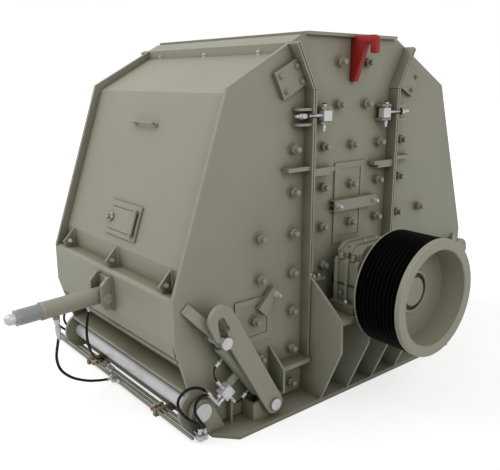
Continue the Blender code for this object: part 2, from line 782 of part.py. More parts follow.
def base_frame():
    """Base plate, sills, hinge blocks, ribs and cylinder anchors, welded together."""
    corner = [(BASE_HALF_X, BASE_SIDE_Y), (BASE_END_X, BASE_END_Y)]
    outline = corner + [(-x, y) for x, y in corner[::-1]]
    outline += [(-x, -y) for x, y in corner] + [(x, -y) for x, y in corner[::-1]]
    shapes = [prism(outline, "z", 0.0, BASE_THICK)]
    sill_x = INNER_X - SILL_SIDE_GAP
    overlap = BASE_THICK / 2.0
    block_x = SIDE_X + MOVING_GAP
    block = arc(HINGE, BLOCK_RADIUS, -50.0, 180.0, 12)
    block += [(BLOCK_FOOT_INNER, overlap), (BLOCK_FOOT_OUTER, overlap)]
    pin = ANCHOR_PIN
    box_end = pin[0] + ANCHOR_BOX_REACH
    cheek = arc(pin, CHEEK_RADIUS, 70.0, 180.0, 6)
    cheek += [(pin[0] - ANCHOR_FOOT_HALF, BASE_THICK), (pin[0] - ANCHOR_FOOT_HALF, overlap)]
    cheek += [(box_end, overlap), (box_end, ANCHOR_BOX_TOP)]
    inner_cheek = CYLINDER_X - EYE_HALF_WIDTH - CHEEK_GAP - CHEEK_THICK
    outer_cheek = CYLINDER_X + EYE_HALF_WIDTH + CHEEK_GAP
    cuts = [
        box(
            (-DISCHARGE_HALF_X, DISCHARGE_HALF_X),
            (-DISCHARGE_HALF_Y, DISCHARGE_HALF_Y),
            (-BASE_THICK, 2.0 * BASE_THICK),
        )
    ]
    for end in (1, -1):
        flip = Matrix.Diagonal((1.0, end, 1.0, 1.0))
        sill = [(SILL_Y, overlap), (SILL_Y + SILL_THICK, overlap), (SILL_Y + SILL_THICK, SILL_TOP)]
        sill += [(SILL_Y + SILL_LEDGE, SILL_TOP), (SILL_Y + SILL_LEDGE, SILL_TOP + SILL_LEDGE_THICK)]
        sill += [(SILL_Y, SILL_TOP + SILL_LEDGE_THICK)]
        group = [prism(sill, "x", -sill_x, sill_x)]
        holes = [rod(HINGE, "x", HINGE_RADIUS + TOUCH, -BASE_HALF_X, BASE_HALF_X)]
        for side in (1, -1):
            group.append(prism(block, "x", side * block_x, side * (block_x + BLOCK_THICK)))
            group.append(
                box(
                    sorted((side * block_x, side * (SIDE_X + RIB_REACH))),
                    (RIB_Y - RIB_THICK, RIB_Y),
                    (overlap, RIB_TOP),
                )
            )
            for start in (inner_cheek, outer_cheek):
                group.append(prism(cheek, "x", side * start, side * (start + CHEEK_THICK)))
            group.append(
                box(
                    sorted((side * (inner_cheek + CHEEK_THICK / 2), side * (outer_cheek + CHEEK_THICK / 2))),
                    (box_end - ANCHOR_SCREEN_THICK, box_end),
                    (overlap, ANCHOR_BOX_TOP),
                )
            )
            pin_end = ARM_X + ARM_THICK + HEAD_CLEARANCE
            group.append(
                rod(pin, "x", PIN_RADIUS, side * inner_cheek, side * (pin_end + PIN_HEAD_THICK / 2), PIN_SIDES)
            )
            group.append(
                rod(pin, "x", PIN_HEAD_RADIUS, side * pin_end, side * (pin_end + PIN_HEAD_THICK), PIN_SIDES)
            )
        for shape in group + holes:
            bmesh.ops.transform(shape, matrix=flip, verts=shape.verts)
            bmesh.ops.recalc_face_normals(shape, faces=shape.faces)
        shapes += group
        cuts += holes
    add_part("base_frame", joined("base_frame", shapes, cuts), "body_paint")


def centre_sections():
    """Fixed side plates with their flange strips, roof caps and the feed flange."""
    edge = seam_side(-SEAM_GAP / 2.0)
    top = FLANGE_FOOT - TOUCH
    corner = (
        FEED_CORNER_Y + (FEED_TOP - top) * (SHOULDER[0] - FEED_CORNER_Y) / (FEED_TOP - SHOULDER[1]),
        top,
    )
    foot = BASE_THICK + TOUCH
    half = [(edge[0][0], foot), edge[1], edge[2], corner]
    outline = half + [(-y, z) for y, z in half[::-1]]
    strip_line = [(edge[0][0], GUSSET_WALL_Z), edge[1], edge[2]]
    strip = bent_sheet(strip_line, STRIP_THICK)
    shapes = [prism(outline, "x", INNER_X, SIDE_X)]
    shapes.append(prism(strip, "x", SIDE_X - SIDE_THICK / 2.0, SIDE_X + STRIP_REACH))
    shapes.append(flipped(prism(strip, "x", SIDE_X - SIDE_THICK / 2.0, SIDE_X + STRIP_REACH)))
    more, slots = centre_details()
    cuts = [rod((0.0, SHAFT_Z), "x", SIDE_SHAFT_HOLE, 0.0, BASE_HALF_X)] + slots
    mesh = joined("centre_plate", shapes + more, cuts)
    for word, side in (("near", 1), ("far", -1)):
        add_part(f"{word}_centre_plate", mesh, "body_paint", signs=(side, 1))

    lip_y = edge[2][0]
    lip_foot = edge[2][1] - ROOF_LIP
    roof = [(FEED_HALF_Y, top), corner, edge[2], (lip_y, lip_foot), (lip_y - ROOF_LIP_THICK, lip_foot)]
    under = beside([corner, edge[2]], -SHEET_THICK)
    inner_lip = crossing(under[0], under[1], (lip_y - ROOF_LIP_THICK, 0.0), (lip_y - ROOF_LIP_THICK, 1.0))
    under_top = crossing(under[0], under[1], (0.0, top - SHEET_THICK), (1.0, top - SHEET_THICK))
    roof += [inner_lip, under_top, (FEED_HALF_Y, top - SHEET_THICK)]
    mesh = joined("roof_cap", [prism(roof, "x", -INNER_X + TOUCH, INNER_X - TOUCH)])
    for word, end in (("front", 1), ("rear", -1)):
        add_part(f"{word}_roof_cap", mesh, "body_paint", signs=(1, end))

    reach = SIDE_X + FLANGE_OVERHANG
    plate = box((-reach, reach), (-FEED_CORNER_Y, FEED_CORNER_Y), (FLANGE_FOOT, FEED_TOP))
    hole = box((-FEED_HALF_X, FEED_HALF_X), (-FEED_HALF_Y, FEED_HALF_Y), (FLANGE_FOOT - 1.0, FEED_TOP + 1.0))
    add_part("feed_flange", joined("feed_flange", [plate], [hole]), "body_paint")


def pedestals():
    """Gussets and shelf under each bearing."""
    wall = SIDE_X + TOUCH
    foot = BASE_THICK + TOUCH
    tall = [(wall, foot), (BASE_HALF_X, foot), GUSSET_KNEE, (SHELF_END_X, SHELF_TOP), GUSSET_TOP]
    tall += [(wall, GUSSET_WALL_Z - TOUCH)]
    short = [(wall, foot), (BASE_HALF_X, foot), GUSSET_KNEE, (SHELF_END_X, SHELF_TOP - SHELF_THICK / 2.0)]
    short += [(wall, SHELF_TOP - SHELF_THICK / 2.0)]
    half = GUSSET_THICK / 2.0
    shapes = [
        box(
            (wall, SHELF_END_X),
            (-GUSSET_OUTER_Y, GUSSET_OUTER_Y),
            (SHELF_TOP - SHELF_THICK, SHELF_TOP),
        )
    ]
    for middle, outline in ((GUSSET_OUTER_Y, tall), (GUSSET_INNER_Y, short)):
        for end in (1, -1):
            shapes.append(prism(outline, "y", end * middle - half, end * middle + half))
    mesh = joined("pedestal", shapes)
    for word, side in (("near", 1), ("far", -1)):
        add_part(f"{word}_pedestal", mesh, "body_paint", signs=(side, 1))


def bearings():
    """Split plummer block: base with feet, cap with ears, and seal collars."""
    seat = SHELF_TOP + TOUCH
    centre = (0.0, SHAFT_Z)
    foot = [(-BEARING_FOOT_HALF, seat), (BEARING_FOOT_HALF, seat)]
    foot += [(BEARING_FOOT_HALF, seat + BEARING_FOOT_HEIGHT), (-BEARING_FOOT_HALF, seat + BEARING_FOOT_HEIGHT)]
    waist = [(-BEARING_RADIUS, seat), (BEARING_RADIUS, seat), (BEARING_RADIUS, SHAFT_Z), (-BEARING_RADIUS, SHAFT_Z)]
    ear = [(-BEARING_EAR_HALF, SHAFT_Z - BEARING_EAR_HEIGHT), (BEARING_EAR_HALF, SHAFT_Z - BEARING_EAR_HEIGHT)]
    ear += [(BEARING_EAR_HALF, SHAFT_Z + BEARING_EAR_HEIGHT), (-BEARING_EAR_HALF, SHAFT_Z + BEARING_EAR_HEIGHT)]
    inset = (BEARING_END_X - BEARING_START_X) * 0.15
    shapes = [
        rod(centre, "x", BEARING_RADIUS, BEARING_START_X, BEARING_END_X),
        prism(waist, "x", BEARING_START_X + inset / 2, BEARING_END_X - inset / 2),
        prism(foot, "x", BEARING_START_X - inset / 3, BEARING_END_X + inset / 3),
        prism(ear, "x", BEARING_START_X + inset, BEARING_END_X - inset),
        rod(centre, "x", BEARING_COLLAR_RADIUS, BEARING_START_X - BEARING_COLLAR, BEARING_END_X + BEARING_COLLAR),
    ]
    reach = BEARING_FOOT_HALF
    slit = 0.012
    cuts = [rod(centre, "x", bore(SHAFT_RADIUS, 40), 0.0, 2.0, 40)]
    for end in (1, -1):
        inner = BEARING_RADIUS - slit
        cuts.append(
            box(
                (BEARING_START_X - 1.0, BEARING_END_X + 1.0),
                sorted((end * inner, end * reach)),
                (SHAFT_Z - BEARING_SPLIT / 2.0, SHAFT_Z + BEARING_SPLIT / 2.0),
            )
        )
    mesh = joined("bearing", shapes, cuts)
    for word, side in (("near", 1), ("far", -1)):
        add_part(f"{word}_bearing", mesh, "body_paint", signs=(side, 1))


def rotor_group():
    """Shaft, rotor with blow bars and grooved pulley, all turning on one line."""
    centre = (0.0, SHAFT_Z)
    web_middle = PULLEY_WEB_X + PULLEY_WEB_THICK / 2.0
    shaft = rod(centre, "x", SHAFT_RADIUS, SHAFT_FAR_X, web_middle, 40)
    pivot = (0.0, 0.0, SHAFT_Z)
    add_part("rotor_shaft", joined("rotor_shaft", [shaft]), "bright_steel", pivot)

    shapes = [rod(centre, "x", ROTOR_DRUM_RADIUS, -ROTOR_HALF_X, ROTOR_HALF_X)]
    for number in range(BLOW_BARS):
        bar = box(
            (-ROTOR_HALF_X + 0.01, ROTOR_HALF_X - 0.01),
            (-BLOW_BAR_THICK / 2.0, BLOW_BAR_THICK / 2.0),
            (SHAFT_Z + ROTOR_DRUM_RADIUS / 2.0, SHAFT_Z + ROTOR_TIP_RADIUS),
        )
        shapes.append(turn_about(bar, centre, 45.0 + 360.0 * number / BLOW_BARS))
    cuts = [rod(centre, "x", SHAFT_RADIUS + TOUCH, -1.0, 1.0, 40)]
    add_part("rotor", joined("rotor", shapes, cuts), "rotor_steel", pivot)

    grooves_start = PULLEY_START_X + PULLEY_BACK_RIM
    pitch = (PULLEY_END_X - PULLEY_FRONT_RING - grooves_start) / PULLEY_GROOVES
    profile = [(PULLEY_START_X, PULLEY_RIM_RADIUS), (PULLEY_START_X, PULLEY_RADIUS)]
    for number in range(PULLEY_GROOVES):
        start = grooves_start + pitch * number
        profile.append((start, PULLEY_RADIUS))
        profile.append((start + pitch * 0.38, PULLEY_RADIUS - PULLEY_GROOVE_DEPTH))
        profile.append((start + pitch * 0.62, PULLEY_RADIUS - PULLEY_GROOVE_DEPTH))
    profile.append((PULLEY_END_X - PULLEY_FRONT_RING, PULLEY_RADIUS))
    profile.append((PULLEY_END_X, PULLEY_RADIUS))
    profile.append((PULLEY_END_X, PULLEY_RIM_RADIUS))
    profile.append((PULLEY_WEB_X + PULLEY_WEB_THICK, PULLEY_RIM_RADIUS))
    profile.append((PULLEY_WEB_X + PULLEY_WEB_THICK, PULLEY_HUB_RADIUS))
    profile.append((PULLEY_HUB_END_X, PULLEY_HUB_RADIUS))
    profile.append((PULLEY_HUB_END_X, PULLEY_CAP_RADIUS))
    profile.append((PULLEY_CAP_END_X, PULLEY_CAP_RADIUS))
    profile.append((PULLEY_CAP_END_X, PULLEY_CAP_RADIUS / 10.0))
    profile.append((web_middle + TOUCH, PULLEY_CAP_RADIUS / 10.0))
    hole = (SHAFT_RADIUS + TOUCH) / math.cos(math.pi / PULLEY_SIDES)
    profile.append((web_middle + TOUCH, hole))
    profile.append((PULLEY_START_X + PULLEY_BACK_RIM, hole))
    profile.append((PULLEY_START_X + PULLEY_BACK_RIM, PULLEY_HUB_RADIUS))
    profile.append((PULLEY_WEB_X, PULLEY_HUB_RADIUS))
    profile.append((PULLEY_WEB_X, PULLEY_RIM_RADIUS))
    add_part("drive_pulley", joined("drive_pulley", [turned(profile, centre, PULLEY_SIDES)]), "body_paint", pivot)


def lifting_hooks():
    """Red plate hooks on the centre plates, open downwards."""
    wall = SIDE_X + TOUCH
    chamfer = LIFT_TOP_Z - FLANGE_FOOT + 0.020
    throat = arc((LIFT_THROAT_X, LIFT_THROAT_Z - LIFT_THROAT_RADIUS), LIFT_THROAT_RADIUS, 180.0, 0.0, 8)
    round_top = arc((LIFT_REACH_X - 0.03, LIFT_TOP_Z - 0.03), 0.03, 0.0, 90.0, 5)
    outline = [(wall, LIFT_FOOT_Z), (wall + LIFT_FOOT_WIDTH, LIFT_FOOT_Z)]
    outline += [(LIFT_THROAT_X - LIFT_THROAT_RADIUS, LIFT_FINGER_Z - 0.010)] + throat
    outline += [(LIFT_THROAT_X + LIFT_THROAT_RADIUS, LIFT_FINGER_Z), (LIFT_REACH_X, LIFT_FINGER_Z)]
    outline += round_top + [(wall + 1.6 * chamfer, LIFT_TOP_Z), (wall, LIFT_TOP_Z - chamfer)]
    mesh = joined("lifting_hook", [prism(outline, "y", -LIFT_HALF_THICK, LIFT_HALF_THICK)])
    for word, side in (("near", 1), ("far", -1)):
        add_part(f"{word}_lifting_hook", mesh, "hook_red", signs=(side, 1))


def side_outline():
    """The outline of a housing's side plate, from its seam round to its hinge."""
    edge = seam_side(SEAM_GAP / 2.0)
    foot_z = BASE_THICK + SKIRT_CLEARANCE
    start = meets_circle(BEAM_FOOT, SKIRT, HINGE, LUG_RADIUS)
    end = -180.0 - math.degrees(math.asin((foot_z - HINGE[1]) / LUG_RADIUS))
    seam_radius = HINGE[0] - edge[0][0]
    low = 180.0 + math.degrees(math.asin((HINGE[1] - foot_z) / seam_radius))
    outline = [edge[1], edge[2], SHOULDER, WAIST, BEAM_FOOT]
    outline += arc(HINGE, LUG_RADIUS, start, end, 12)
    outline += arc(HINGE, seam_radius, low, 180.0, 3)
    return outline, edge


def housing_sides():
    """Side plates of the housings, with their strips, brackets and stiffeners."""
    outline, edge = side_outline()
    root = SIDE_X - SIDE_THICK / 2.0
    strip_line = [(edge[0][0], STRIP_FOOT_Z), edge[1], edge[2]]
    shapes = [
        prism(outline, "x", INNER_X, SIDE_X),
        prism(bent_sheet(strip_line, -STRIP_THICK), "x", root, SIDE_X + STRIP_REACH),
    ]
    stiffener = [(root, STIFFENER_FOOT_Z), (SIDE_X + STIFFENER_REACH, STIFFENER_FOOT_Z)]
    stiffener += [(SIDE_X + STIFFENER_REACH, STIFFENER_SHOULDER_Z), (SIDE_X, STIFFENER_TOP_Z)]
    stiffener += [(root, STIFFENER_TOP_Z)]
    shapes.append(prism(stiffener, "y", STIFFENER_Y - STIFFENER_THICK, STIFFENER_Y))
    shapes.append(
        box(
            (root, SIDE_X + SHELF_BAR_REACH),
            (edge[0][0] + STRIP_THICK / 2.0, STIFFENER_Y - STIFFENER_THICK / 2.0),
            (SHELF_BAR_Z, SHELF_BAR_Z + SHELF_BAR_THICK),
        )
    )
    plate = box(
        (-SQUARE_PLATE_LENGTH / 2.0, SQUARE_PLATE_LENGTH / 2.0),
        (-SQUARE_PLATE_WIDTH / 2.0, SQUARE_PLATE_WIDTH / 2.0),
        (root, SIDE_X + SQUARE_PLATE_THICK),
    )
    turn = Matrix.Rotation(math.radians(SQUARE_PLATE_ANGLE), 4, "Z")
    swap = Matrix(((0, 0, 1, 0), (1, 0, 0, SQUARE_PLATE_CENTRE[0]), (0, 1, 0, SQUARE_PLATE_CENTRE[1]), (0, 0, 0, 1)))
    bmesh.ops.transform(plate, matrix=swap @ turn, verts=plate.verts)
    shapes.append(plate)
    shapes += pin_bracket()
    more, slots = housing_details()
    shapes += more
    cuts = slots + [
        rod(HINGE, "x", bore(HINGE_RADIUS), INNER_X - 0.1, SIDE_X + 0.02),
        rod(HOUSING_PIN, "x", bore(PIN_RADIUS, PIN_SIDES), SIDE_X + 0.005, ARM_X, PIN_SIDES),
    ]
    mesh = joined("housing_side", shapes, cuts)
    pivot = (0.0, HINGE[0], HINGE[1])
    for end_word, end in (("rear", -1), ("front", 1)):
        for side_word, side in (("near", 1), ("far", -1)):
            name = f"{end_word}_{side_word}_side"
            add_part(name, mesh, "body_paint", pivot, signs=(side, end))


def pin_bracket():
    """The bent strap, web and inner boss that hold a cylinder's upper pin."""
    inner = CYLINDER_X - EYE_HALF_WIDTH - CHEEK_GAP
    outer = CYLINDER_X + EYE_HALF_WIDTH + CHEEK_GAP
    root = SIDE_X - SIDE_THICK / 2.0
    start = -BRACKET_LENGTH - BRACKET_HEEL
    strap = [(start, root), (start, SIDE_X + BRACKET_THICK * 0.4), (-BRACKET_LENGTH, SIDE_X + BRACKET_THICK)]
    strap += [(-CHEEK_RADIUS * 1.6, outer + CHEEK_THICK), (CHEEK_RADIUS, outer + CHEEK_THICK)]
    strap += [(CHEEK_RADIUS, outer), (-CHEEK_RADIUS * 1.4, outer), (-BRACKET_LENGTH + 0.02, SIDE_X)]
    strap += [(-BRACKET_LENGTH + 0.02, root)]
    web = [(start + 0.02, root), (-BRACKET_LENGTH, SIDE_X + BRACKET_THICK / 2.0)]
    web += [(-CHEEK_RADIUS * 1.5, outer + CHEEK_THICK / 2.0), (-CHEEK_RADIUS * 1.2, root)]
    shapes = []
    for outline, width in ((strap, BRACKET_WIDTH), (web, BRACKET_WEB)):
        shape = prism([(t, x) for t, x in outline], "z", -width / 2.0, width / 2.0)
        angle = math.radians(180.0 - 50.0)
        run = (math.cos(angle), math.sin(angle))
        matrix = Matrix(
            (
                (0.0, 1.0, 0.0, 0.0),
                (run[0], 0.0, -run[1], HOUSING_PIN[0]),
                (-run[1], 0.0, -run[0], HOUSING_PIN[1]),
                (0.0, 0.0, 0.0, 1.0),
            )
        )
        bmesh.ops.transform(shape, matrix=matrix, verts=shape.verts)
        bmesh.ops.recalc_face_normals(shape, faces=shape.faces)
        shapes.append(shape)
    shapes.append(rod(HOUSING_PIN, "x", CHEEK_RADIUS, root, inner, PIN_SIDES))
    return shapes


def panel_frame():
    """The sloping panel's top bend, its run down and its outward direction."""
    line = beside([SEAM_TOP, SHOULDER, WAIST], -COVER_INSET)
    bend = line[1]
    length = math.dist(line[1], line[2])
    run = ((line[2][0] - bend[0]) / length, (line[2][1] - bend[1]) / length)
    return line, bend, run, (-run[1], run[0])


def cover_foot():
    """Where the sloping panel turns down into its upright band."""
    line = panel_frame()[0]
    return crossing(line[1], line[2], (0.0, COVER_FOOT_Z), (1.0, COVER_FOOT_Z))


def covers():
    """The bent sheet between a housing's side plates, with its door frame and handle."""
    line, bend, run, out = panel_frame()
    start_y = seam_side(SEAM_GAP / 2.0)[2][0]
    start = (start_y, height_on(line[0], line[1], start_y))
    foot = cover_foot()
    low = (foot[0], WAIST[1] + TOUCH)
    reach = INNER_X - TOUCH
    sheet = bent_sheet([start, bend, foot, low], -SHEET_THICK)
    sheet[-1] = crossing(sheet[-1], sheet[-2], start, (start[0], 0.0))
    shapes = [prism(sheet, "x", -reach, reach)]
    frame = box(
        (-DOOR_FRAME_HALF_X, DOOR_FRAME_HALF_X),
        (DOOR_FRAME_TOP, DOOR_FRAME_FOOT),
        (-SHEET_THICK / 2.0, DOOR_FRAME_HEIGHT),
    )
    shapes.append(lay_on(frame, bend, run, out))
    lug_top = DOOR_HINGE_HEIGHT + DOOR_PIN_RADIUS * 1.8
    lug_half = DOOR_PIN_RADIUS * 1.8
    for low_end in (DOOR_TOP - DOOR_LUG_THICK, DOOR_FOOT):
        lug = box(
            (DOOR_HINGE_X - lug_half, DOOR_HINGE_X + lug_half),
            (low_end, low_end + DOOR_LUG_THICK),
            (-SHEET_THICK / 2.0, lug_top),
        )
        shapes.append(lay_on(lug, bend, run, out))
    for x in HANDLE_X:
        post = rod((x, HANDLE_DOWN), "z", HANDLE_RADIUS, -SHEET_THICK / 2.0, HANDLE_HEIGHT, 12)
        shapes.append(lay_on(post, bend, run, out))
    bar = rod(
        (HANDLE_DOWN, HANDLE_HEIGHT),
        "x",
        HANDLE_RADIUS,
        HANDLE_X[0] - HANDLE_RADIUS,
        HANDLE_X[1] + HANDLE_RADIUS,
        12,
    )
    shapes.append(lay_on(bar, bend, run, out))
    recess = box(
        (DOOR_X[0] - DOOR_CLEARANCE, DOOR_X[1] + DOOR_CLEARANCE),
        (DOOR_TOP - DOOR_CLEARANCE + 0.002, DOOR_FOOT + DOOR_CLEARANCE - 0.002),
        (0.0, 2.0 * DOOR_FRAME_HEIGHT),
    )
    hole = box(
        (DOOR_X[0] + DOOR_HOLE_MARGIN, DOOR_X[1] - DOOR_HOLE_MARGIN),
        (DOOR_TOP + DOOR_HOLE_MARGIN, DOOR_FOOT - DOOR_HOLE_MARGIN),
        (-0.2, 0.2),
    )
    pin_hole = rod(
        (DOOR_HINGE_X, DOOR_HINGE_HEIGHT),
        "y",
        bore(DOOR_PIN_RADIUS, 12),
        DOOR_TOP - DOOR_LUG_THICK * 2.0,
        DOOR_FOOT + DOOR_LUG_THICK * 2.0,
        12,
    )
    cuts = [lay_on(shape, bend, run, out) for shape in (recess, hole, pin_hole)]
    mesh = joined("cover", shapes, cuts)
    pivot = (0.0, HINGE[0], HINGE[1])
    for word, end in (("rear", -1), ("front", 1)):
        add_part(f"{word}_cover", mesh, "body_paint", pivot, signs=(1, end))

    leaf = box(DOOR_X, (DOOR_TOP, DOOR_FOOT), (TOUCH, DOOR_THICK))
    tongue = box(
        (DOOR_X[1] - 0.01, DOOR_HINGE_X),
        (DOOR_TOP + 0.001, DOOR_FOOT - 0.001),
        (DOOR_THICK - 0.006, DOOR_HINGE_HEIGHT + DOOR_PIN_RADIUS / 2.0),
    )
    pin = rod(
        (DOOR_HINGE_X, DOOR_HINGE_HEIGHT),
        "y",
        DOOR_PIN_RADIUS,
        DOOR_TOP - DOOR_LUG_THICK,
        DOOR_FOOT + DOOR_LUG_THICK,
        12,
    )
    knuckle = rod(
        (DOOR_HINGE_X, DOOR_HINGE_HEIGHT),
        "y",
        DOOR_PIN_RADIUS * 1.6,
        DOOR_TOP + 0.001,
        DOOR_FOOT - 0.001,
        12,
    )
    knob = rod(
        (DOOR_X[0] + KNOB_RADIUS * 1.1, (DOOR_TOP + DOOR_FOOT) / 2.0),
        "z",
        KNOB_RADIUS,
        DOOR_THICK / 2.0,
        DOOR_THICK + KNOB_HEIGHT,
        16,
    )
    shapes = [lay_on(shape, bend, run, out) for shape in (leaf, tongue, pin, knuckle, knob)]
    mesh = joined("inspection_door", shapes)
    hinge_y = bend[0] + run[0] * (DOOR_TOP + DOOR_FOOT) / 2.0 + out[0] * DOOR_HINGE_HEIGHT
    hinge_z = bend[1] + run[1] * (DOOR_TOP + DOOR_FOOT) / 2.0 + out[1] * DOOR_HINGE_HEIGHT
    pivot = (DOOR_HINGE_X, hinge_y, hinge_z)
    for word, end in (("rear", -1), ("front", 1)):
        add_part(f"{word}_inspection_door", mesh, "body_paint", pivot, signs=(1, end))


def beams():
    """The bent beam across a housing's foot, with its three lugs and the skirt plate below."""
    reach = INNER_X - TOUCH
    back = cover_foot()[0] - SHEET_THICK
    round_edge = arc(
        (WAIST[0] - BEAM_EDGE_RADIUS, WAIST[1] - BEAM_EDGE_RADIUS), BEAM_EDGE_RADIUS, 90.0, 0.0, 5
    )
    outer = [(back, WAIST[1])] + round_edge + [BEAM_FOOT, BEAM_TIP]
    shapes = [prism(bent_sheet(outer, -BEAM_WALL), "x", -reach, reach)]
    for x in BEAM_LUG_X:
        half = BEAM_LUG_THICK / 2.0
        shapes.append(prism(list(BEAM_LUG), "x", x - half, x + half))
        shapes.append(
            rod(BEAM_LUG_BOSS, "x", BEAM_LUG_BOSS_RADIUS, x - BEAM_LUG_BOSS_HALF, x + BEAM_LUG_BOSS_HALF, 16)
        )
    mesh = joined("beam", shapes)
    pivot = (0.0, HINGE[0], HINGE[1])
    for word, end in (("rear", -1), ("front", 1)):
        add_part(f"{word}_beam", mesh, "body_paint", pivot, signs=(1, end))
    skirt = bent_sheet([SKIRT_PLATE_TOP, SKIRT_PLATE_FOOT, SKIRT_PLATE_LIP], SKIRT_PLATE_THICK)
    rail = rod(SKIRT_PLATE_LIP, "x", SKIRT_RAIL_RADIUS, -reach, reach, 12)
    mesh = joined("skirt", [prism(skirt, "x", -reach, reach), rail])
    for word, end in (("rear", -1), ("front", 1)):
        add_part(f"{word}_skirt_plate", mesh, "body_paint", pivot, signs=(1, end))


def aprons():
    """Impact aprons hung between the side plates on a cross shaft."""
    height = SHOULDER[1] - SHAFT_Z
    plate = bent_sheet([(y, SHAFT_Z + height * share) for y, share in APRON_POINTS], APRON_THICK)
    bar = (APRON_PIVOT_Y, SHAFT_Z + height * APRON_PIVOT_SHARE)
    shapes = [
        prism(plate, "x", -APRON_HALF_X, APRON_HALF_X),
        rod(bar, "x", APRON_PIVOT_RADIUS, -INNER_X + TOUCH, INNER_X - TOUCH, 24),
    ]
    mesh = joined("apron", shapes)
    pivot = (0.0, HINGE[0], HINGE[1])
    for word, end in (("rear", -1), ("front", 1)):
        add_part(f"{word}_apron", mesh, "rotor_steel", pivot, signs=(1, end))


def adjusters():
    """Clevis, tube and spindle that stand out from each beam."""
    face = WAIST[0] + TOUCH
    pin = (face + ADJUSTER_BOX_DEPTH / 2.0, ADJUSTER_Z)
    low, high = ADJUSTER_BOX_Z
    half = ADJUSTER_BOX_HALF_X + ADJUSTER_PLATE_MARGIN
    shapes = [
        box((-half, half), (face, face + ADJUSTER_CHEEK / 2.0), (low - 0.005, high + ADJUSTER_PLATE_MARGIN)),
    ]
    end = face + ADJUSTER_BOX_DEPTH
    cut = ADJUSTER_BOX_CHAMFER
    cheek = [(face, low), (end - cut, low), (end, low + cut), (end, high - cut), (end - cut, high), (face, high)]
    knuckle = (face + ADJUSTER_KNUCKLE_RADIUS, high)
    for side in (1, -1):
        start = side * (ADJUSTER_BOX_HALF_X - ADJUSTER_CHEEK)
        shapes.append(prism(cheek, "x", start, side * ADJUSTER_BOX_HALF_X))
        shapes.append(rod(knuckle, "x", ADJUSTER_KNUCKLE_RADIUS, start, side * ADJUSTER_BOX_HALF_X, 16))
    shapes.append(rod(pin, "x", ADJUSTER_PIN_RADIUS, -ADJUSTER_BOX_HALF_X - 0.006, ADJUSTER_BOX_HALF_X + 0.006))
    tube = rod((0.0, ADJUSTER_Z), "y", ADJUSTER_RADIUS, face + ADJUSTER_CHEEK, ADJUSTER_TUBE_END_Y)
    port = rod((0.0, PORT_Y), "z", PORT_RADIUS, PORT_FOOT_Z, ADJUSTER_Z, 16)
    fitting = rod((0.0, PORT_Y), "z", PORT_RADIUS * 0.7, FITTING_FOOT_Z, ADJUSTER_Z, 12)
    hollow = rod(
        (0.0, ADJUSTER_Z),
        "y",
        SPINDLE_RADIUS + RUNNING,
        ADJUSTER_TUBE_END_Y - SPINDLE_INSIDE - SPINDLE_TRAVEL - 0.01,
        ADJUSTER_TUBE_END_Y + 0.1,
    )
    for shape in (tube, port, fitting, hollow):
        turn_about(shape, pin, -ADJUSTER_TILT)
    mesh = joined("adjuster", shapes + [tube, port, fitting], [hollow])
    pivot = (0.0, HINGE[0], HINGE[1])
    for word, end in (("rear", -1), ("front", 1)):
        add_part(f"{word}_adjuster", mesh, "body_paint", pivot, signs=(1, end))
    spindle = rod(
        (0.0, ADJUSTER_Z), "y", SPINDLE_RADIUS, ADJUSTER_TUBE_END_Y - SPINDLE_INSIDE, SPINDLE_END_Y
    )
    tip = rod((0.0, ADJUSTER_Z), "y", TIP_RADIUS, SPINDLE_END_Y - 0.02, TIP_END_Y)
    for shape in (spindle, tip):
        turn_about(shape, pin, -ADJUSTER_TILT)
    mesh = joined("adjuster_spindle", [spindle, tip])
    for word, end in (("rear", -1), ("front", 1)):
        add_part(f"{word}_adjuster_spindle", mesh, "thread_steel", (0.0, pin[0], pin[1]), signs=(1, end))


def along_cylinder(shape):
    """Turn a shape drawn along +Y from the anchor pin to the line of the cylinder."""
    return turn_about(shape, ANCHOR_PIN, CYLINDER_ANGLE)


